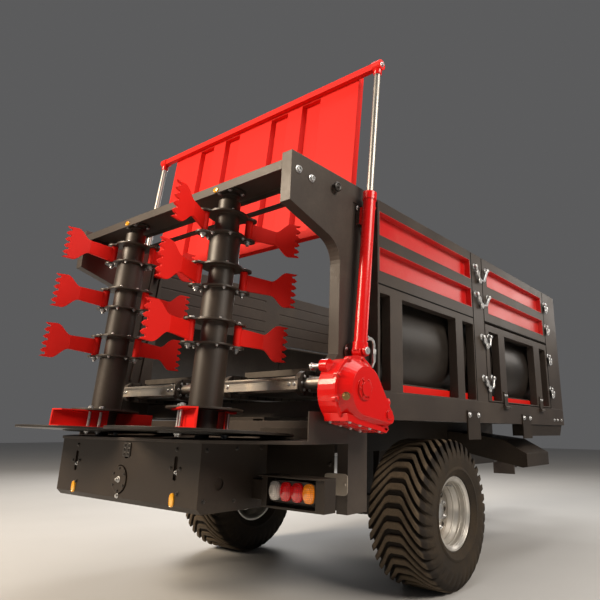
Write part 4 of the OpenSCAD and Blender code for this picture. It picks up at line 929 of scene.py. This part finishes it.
def fit_oil_plug():
    """The brass plug on the cover's sloping edge."""
    plug = Stock()
    y, z, _ = GEAR_BIG
    rear = Vector((0, math.cos(PLUG_TURN), math.sin(PLUG_TURN)))
    seat = facing(spot(PLUG_X, y, z) + PLUG_R * rear, PLUG_REAR * rear + PLUG_OUT * Vector(RIGHT))
    plug.lathe(seat, [(0.019, 0.0), (0.019, 0.004), (0.016, 0.005)], 20)
    plug.lathe(seat, [(0.014, 0.004), (0.014, 0.014), (0.012, 0.016)], 6)
    brass = bare_metal("plug_brass", rgb(0.20, 0.12, 0.045), rgb(0.30, 0.19, 0.08), rgb(0.07, 0.045, 0.02))
    plug.done("oil_plug", brass, "zinc", "chassis")


# Lift cylinders
LIFT_PIN_X = lift_high.x
LIFT_X = LIFT_PIN_X - 0.045
LIFT_Y = -1.054
LIFT_Z = lift_low.z + 0.050
CLEVIS_BOLTS = [(0.038, -0.021), (-0.038, 0.014)]
CLEVIS_T = 0.014
# The oil pipe from its port: steps ahead and up, and the share of its way in to the arm
PIPE_PORT = (0.052, 0.076)
PIPE_BEND = [(0.012, 0.0, 0.0), (0.045, 0.0, 0.0), (0.062, -0.010, 0.0), (0.068, -0.030, 0.0),
             (0.068, -0.120, 0.0), (0.068, -0.140, 0.15), (0.068, -0.150, 0.4), (0.068, -0.150, 1.0)]
PIPE_DROP_END = 4
PIPE_NUT_UP = 0.055
HOOK_ROD_TOP = (-0.998, 2.138)
HOOK_ROD_FOOT = (-0.938, 1.984)
HOOK_ROD_OUT = 0.008
NIPPLE = (0.046, 0.022)
# The gate's top bar: where its ends lie, and the way down along the rods
bar_low, bar_high = node_box("gate_bar")
BAR_END_X = bar_high.x
BAR_END_Y = (bar_low.y + bar_high.y) / 2
BAR_END_Z = (bar_low.z + bar_high.z) / 2
LEAN_DOWN = (0.0, -0.0924, -0.9957)
ARM_STUD_X = arm_high.x
ARM_STUD = (-1.200, 2.192)


def add_pin(fittings, side):
    """The head of the pin at the cylinder's foot, and the bolts of its clevis."""
    pin = side_face(side, LIFT_PIN_X, LIFT_Y, LIFT_Z)
    fittings.lathe(pin, [(0.020, -SEAT), (0.020, 0.005), (0.017, 0.008)], 24)
    for ahead, up in CLEVIS_BOLTS:
        fittings.bolt(side_face(side, ARM_X + CLEVIS_T, LIFT_Y + ahead, LIFT_Z + up), 0.007)


def add_pipe(fittings, side):
    """The bent pipe from the cylinder's port into the arm, with its nuts and collar."""
    ahead, up = PIPE_PORT
    port = spot(side * LIFT_X, LIFT_Y + ahead, LIFT_Z + up)
    fittings.lathe(facing(port, AHEAD), [(0.015, 0), (0.015, 0.016)], 6)
    inward = Vector((side * (ARM_X - LIFT_X), 0, 0))
    bend = [port + Vector((0, y, z)) + share * inward for y, z, share in PIPE_BEND]
    fittings.rod(bend, 0.010, 12)
    nut = facing(bend[PIPE_DROP_END] + Vector((0, 0, PIPE_NUT_UP)), DOWN)
    fittings.lathe(nut, [(0.017, -0.012), (0.017, 0.012), (0.014, 0.015)], 6)
    fittings.lathe(nut, [(0.013, 0.010), (0.013, 0.052), (0.011, 0.056)], 16)
    entry = facing(bend[-1], (side, 0, 0))
    fittings.lathe(entry, [(0.020, -SEAT), (0.020, 0.004), (0.016, 0.005)], 20)
    fittings.lathe(entry, [(0.015, 0.004), (0.015, 0.018)], 6)


def add_hook_rod(fittings, side):
    """The thin rod with eyes along the arm's front edge."""
    x = side * (ARM_X + HOOK_ROD_OUT)
    top = spot(x, *HOOK_ROD_TOP)
    foot = spot(x, *HOOK_ROD_FOOT)
    fittings.rod([top, top.lerp(foot, 0.5), foot], 0.0055)
    for place, size in ((top, 0.011), (top.lerp(foot, 0.55), 0.009), (foot, 0.010)):
        fittings.eye(facing(place, (side, 0, 0)), size, 0.004)


def add_nipple(nipples, side):
    """The grease nipple of the cylinder's foot."""
    ahead, up = NIPPLE
    home = facing(spot(side * LIFT_X, LIFT_Y + ahead, LIFT_Z + up), AHEAD)
    tip = [(0.005, 0.008), (0.005, 0.014), (0.0035, 0.016), (0.0045, 0.019), (0.002, 0.022)]
    nipples.lathe(home, [(0.009, 0.0), (0.009, 0.008), (0.007, 0.009)], 6)
    nipples.lathe(home, tip, 12)


def fit_cylinder_hardware():
    fittings = Stock()
    nipples = Stock()
    for side in SIDES.values():
        add_pin(fittings, side)
        add_pipe(fittings, side)
        add_hook_rod(fittings, side)
        add_nipple(nipples, side)
    fittings.done_plain("cylinder_fittings", "zinc", "chassis")
    brass = bare_metal("nipple_brass", rgb(0.70, 0.42, 0.12), rgb(0.78, 0.52, 0.20), rgb(0.30, 0.17, 0.05))
    nipples.done("grease_nipples", brass, "zinc", "chassis")


def fit_rod_ends():
    """Red collars where the lift rods meet the gate's bar, and the bolts in the bar's ends."""
    collars = Stock()
    bolts = Stock()
    for side in SIDES.values():
        home = facing(spot(side * LIFT_X, BAR_END_Y, BAR_END_Z), LEAN_DOWN)
        collars.lathe(home, [(0.021, 0.028), (0.026, 0.031), (0.026, 0.064), (0.022, 0.070)], 24)
        bolts.bolt(side_face(side, BAR_END_X, BAR_END_Y, BAR_END_Z), 0.013)
    collars.done_plain("rod_collars", "red_gloss", "gate")
    bolts.done_plain("gate_bar_bolts", "zinc", "gate")


def fit_arm_stops():
    """Dark buffers on the studs of the arms."""
    stops = Stock()
    buffer = [(0.022, -0.002), (0.027, 0.002), (0.027, 0.012), (0.020, 0.016), (0.012, 0.013)]
    for side in SIDES.values():
        stud = side_face(side, ARM_STUD_X, *ARM_STUD)
        stops.lathe(stud, buffer, 24)
        stops.bolt(stud @ slide(0, 0, 0.012), 0.008)
    stops.done("arm_stops", SLOT_FINISH["black_paint"], "rubber", "chassis")


# Gear housing under the deck
COVER_Z = 0.670
COVER_FACE = housing_low.y
COVER_BOLT_R = 0.055
SLOT_X = 0.467
SLOT_Z = 0.745
# Bolts round each slot: across and up from its middle
SLOT_BOLTS = [(-0.036, 0.0), (0.036, 0.0), (0.0, 0.085), (0.030, -0.110)]
SLOT_NUT = (0.002, -0.018)
SLOT_FLOOR = HOUSING_REAR + 0.011
DRAIN = (-0.006, COVER_Z - 0.080)
HINGE_PLATE = (0.043, 0.818)
HINGE_PLATE_HALF = (0.034, 0.036)
HINGE_PLATE_T = 0.006
HOUSING_SIDE_X = housing_high.x
HOUSING_SIDE_BOLTS = [(-1.600, 0.610), (-1.600, 0.830), (-1.420, 0.600), (-1.420, 0.835),
                      (-1.260, 0.600), (-1.260, 0.835)]


def fit_housing_bolts():
    """Dark bolts of the slots, the round cover, the hinge plate and the ends."""
    dark = Stock()
    for x in (-SLOT_X, SLOT_X):
        for across, up in SLOT_BOLTS:
            dark.bolt(rear_face(x + across, HOUSING_REAR, SLOT_Z + up), 0.008)
    for a in round_angles(6, 0.5):
        x = COVER_BOLT_R * math.cos(a)
        z = COVER_Z + COVER_BOLT_R * math.sin(a)
        dark.bolt(rear_face(x, COVER_FACE, z), 0.006)
    x, z = HINGE_PLATE
    plate = rear_face(x, HOUSING_REAR, z)
    layers = [(1.0, -SEAT), (1.0, 0.005), (0.97, HINGE_PLATE_T)]
    dark.oval(plate, *HINGE_PLATE_HALF, layers, corner=0.25)
    for across in (-0.017, 0.017):
        for up in (-0.022, 0.0, 0.022):
            dark.bolt(plate @ slide(across, up, HINGE_PLATE_T), 0.007)
    for side in SIDES.values():
        for y, z in HOUSING_SIDE_BOLTS:
            dark.bolt(side_face(side, HOUSING_SIDE_X, y, z), 0.008)
    dark.done_plain("housing_bolts", "black_paint", "chassis")


def fit_housing_nuts():
    """Pale nuts in the slots and on the round cover, and the drain's bolt."""
    pale = Stock()
    across, up = SLOT_NUT
    for x in (-SLOT_X, SLOT_X):
        pale.nut(rear_face(x + across, SLOT_FLOOR, SLOT_Z + up), 0.011)
    pale.nut(rear_face(0.0, COVER_FACE, COVER_Z), 0.012)
    x, z = DRAIN
    pale.bolt(rear_face(x, HOUSING_REAR, z), 0.010)
    pale.done_plain("housing_nuts", "zinc", "chassis")


# Conveyor: the slat at the rear turn of each chain pair, and the sprockets' bolts
SLAT_REAR = -1.195
SLAT_ENDS = (0.226, 0.826)
SLAT_T = 0.008
SLAT_FOOT = 1.126
SLAT_TOP = 1.188
SLAT_LEG = 0.028
SLAT_BOLTS_X = (0.248, 0.284, 0.768, 0.804)
SLAT_BOLT_Z = 1.154
SHAFT_Y = -1.130
SHAFT_Z = 1.160
# Outer faces of each chain pair's sprockets, and the way they look
SPROCKET_FACES = [(0.2225, -1), (0.8295, 1)]
SPROCKET_BOLT_R = 0.040


def fit_conveyor():
    slats = Stock()
    bolts = Stock()
    angle = [(0.0, SLAT_FOOT), (0.0, SLAT_TOP), (-SLAT_LEG, SLAT_TOP), (-SLAT_LEG, SLAT_TOP - SLAT_T),
             (-SLAT_T, SLAT_TOP - SLAT_T), (-SLAT_T, SLAT_FOOT)]
    for side in SIDES.values():
        slats.skin([[spot(side * x, SLAT_REAR + y, z) for y, z in angle] for x in SLAT_ENDS])
        for x in SLAT_BOLTS_X:
            bolts.bolt(rear_face(side * x, SLAT_REAR - SLAT_T, SLAT_BOLT_Z), 0.009)
        for x, out in SPROCKET_FACES:
            for a in round_angles(6):
                y = SHAFT_Y + SPROCKET_BOLT_R * math.cos(a)
                z = SHAFT_Z + SPROCKET_BOLT_R * math.sin(a)
                bolts.bolt(facing(spot(side * x, y, z), (side * out, 0, 0)), 0.006)
    steel = bare_metal("slat_steel", rgb(0.60, 0.55, 0.48), rgb(0.66, 0.62, 0.56), rgb(0.26, 0.19, 0.12))
    slats.done("turn_slats", steel, "zinc", "chassis")
    bolts.done_plain("conveyor_bolts", "zinc", "chassis")


# Drawbar: bolts of the hitch eye and the splined drive stub
HITCH_PLATE_T = 0.025
HITCH_FACE = node_box("drawbar")[1].y + HITCH_PLATE_T
HITCH_BOLTS_X = (-0.095, 0.095)
HITCH_BOLTS_Z = (0.465, 0.535, 0.605)
drive_low, drive_high = node_box("driveline")
STUB_Y = (drive_high.y - 0.087, drive_high.y - 0.003)
STUB_Z = (drive_low.z + drive_high.z) / 2
SPLINE_TIP = 0.0190
SPLINE_ROOT = 0.0160


def fit_drawbar():
    bolts = Stock()
    for x in HITCH_BOLTS_X:
        for z in HITCH_BOLTS_Z:
            bolts.bolt(facing(spot(x, HITCH_FACE, z), AHEAD), 0.016)
    star = [(SPLINE_TIP if i % 4 < 2 else SPLINE_ROOT, a) for i, a in enumerate(round_angles(24))]
    bolts.skin([[spot(r * math.cos(a), y, STUB_Z + r * math.sin(a)) for r, a in star] for y in STUB_Y])
    bolts.done_plain("drawbar_bolts", "zinc", "chassis")


for side_name, side_sign in SIDES.items():
    fit_tyre(side_name, side_sign)
    fit_wheel_nuts(side_name, side_sign)
    fit_rim_bands(side_name, side_sign)
    fit_beater(side_name, side_sign)
    fit_door_bolts(side_name, side_sign)
fit_top_bearings()
fit_reflectors()
fit_tail_lamps()
fit_body_bolts()
fit_seam_shade_strips()
fit_latches()
fit_gearbox_bosses()
fit_gearbox_bolts()
fit_oil_plug()
fit_cylinder_hardware()
fit_rod_ends()
fit_arm_stops()
fit_post_plates()
fit_shade_guards()
fit_housing_bolts()
fit_housing_nuts()
fit_conveyor()
fit_drawbar()


# Stage: a pale floor and soft studio light
FLOOR_HALF = 30.0
FLOOR_FAR = 24.0
WORLD_GREY = rgb(0.105, 0.105, 0.107)


def lay_floor():
    mesh = bpy.data.meshes.new("studio_floor")
    corners = [(-FLOOR_HALF, -FLOOR_HALF), (FLOOR_HALF, -FLOOR_HALF), (FLOOR_HALF, FLOOR_FAR),
               (-FLOOR_HALF, FLOOR_FAR)]
    mesh.from_pydata([(x, y, GROUND_Z) for x, y in corners], [], [(0, 1, 2, 3)])
    floor = bpy.data.objects.new("studio_floor", mesh)
    bpy.context.scene.collection.objects.link(floor)
    pale = Finish("pale_floor", roughness=0.7)
    tone = pale.mix(pale.noise(1.5, 4.0), rgb(0.47, 0.47, 0.465), rgb(0.52, 0.52, 0.515))
    pale.feed("Base Color", tone)
    floor.data.materials.append(pale.material)


def soft_box(name, place, aim, size, power, colour):
    """A rectangular lamp at a place, aimed at another."""
    lamp = bpy.data.lights.new(name, "AREA")
    lamp.shape = "RECTANGLE"
    lamp.size, lamp.size_y = size
    lamp.energy = power
    lamp.color = colour
    holder = bpy.data.objects.new(name, lamp)
    holder.location = place
    holder.visible_camera = False
    holder.rotation_mode = "QUATERNION"
    holder.rotation_quaternion = (Vector(aim) - Vector(place)).to_track_quat("-Z", "Y")
    bpy.context.scene.collection.objects.link(holder)


def light_studio():
    """Warm key light from behind on the left, fill from all sides, and a sheen along the right wall."""
    middle = (0.0, AXLE_Y, 0.9)
    wall = spot(1.1, 1.0, 1.9)
    soft_box("key_light", (-3.2, AXLE_Y - 7.5, 4.6), middle, (3.4, 2.6), 1050.0, (1.0, 0.82, 0.62))
    soft_box("side_light", (7.0, AXLE_Y - 0.5, 5.2), middle, (4.0, 3.0), 560.0, (1.0, 0.89, 0.77))
    soft_box("top_light", (0.0, AXLE_Y + 0.5, 7.0), middle, (6.0, 6.0), 420.0, (1.0, 0.96, 0.90))
    soft_box("sheen_light", spot(3.7, 7.4, 3.6), wall, (4.6, 1.6), 58.0, (1.0, 0.93, 0.85))
    soft_box("far_light", (-6.0, AXLE_Y + 5.0, 4.0), middle, (4.0, 3.0), 330.0, (1.0, 0.97, 0.94))
    world = bpy.data.worlds.new("studio")
    world.use_nodes = True
    background = world.node_tree.nodes["Background"]
    background.inputs["Color"].default_value = WORLD_GREY
    background.inputs["Strength"].default_value = 1.0
    bpy.context.scene.world = world


# Camera: low behind the right rear corner, looking slightly up; the picture's measures are in pixels
CAMERA_PLACE = spot(2.79607, -3.30177, 0.93705)
CAMERA_RIGHT = Vector((0.7963, 0.6048, 0.0103))
CAMERA_AHEAD = Vector((-0.5835, 0.7636, 0.2763))
PICTURE_SIDE = 600.0
FOCAL_PIXELS = 546.776
PICTURE_MIDDLE = (354.913, 270.868)
SENSOR = 36.0
FAR_CLIP = 200.0


def place_camera():
    camera = bpy.data.objects.new("camera", bpy.data.cameras.new("camera"))
    ahead = CAMERA_AHEAD.normalized()
    right = (CAMERA_RIGHT - CAMERA_RIGHT.dot(ahead) * ahead).normalized()
    up = right.cross(ahead)
    turn = Matrix((right, up, -ahead)).transposed()
    camera.matrix_world = Matrix.Translation(CAMERA_PLACE) @ turn.to_4x4()
    camera.data.sensor_width = SENSOR
    camera.data.lens = SENSOR * FOCAL_PIXELS / PICTURE_SIDE
    camera.data.shift_x = 0.5 - PICTURE_MIDDLE[0] / PICTURE_SIDE
    camera.data.shift_y = PICTURE_MIDDLE[1] / PICTURE_SIDE - 0.5
    camera.data.clip_end = FAR_CLIP
    bpy.context.scene.collection.objects.link(camera)
    bpy.context.scene.camera = camera


lay_floor()
light_studio()
place_camera()
bpy.context.scene.view_settings.view_transform = "Standard"
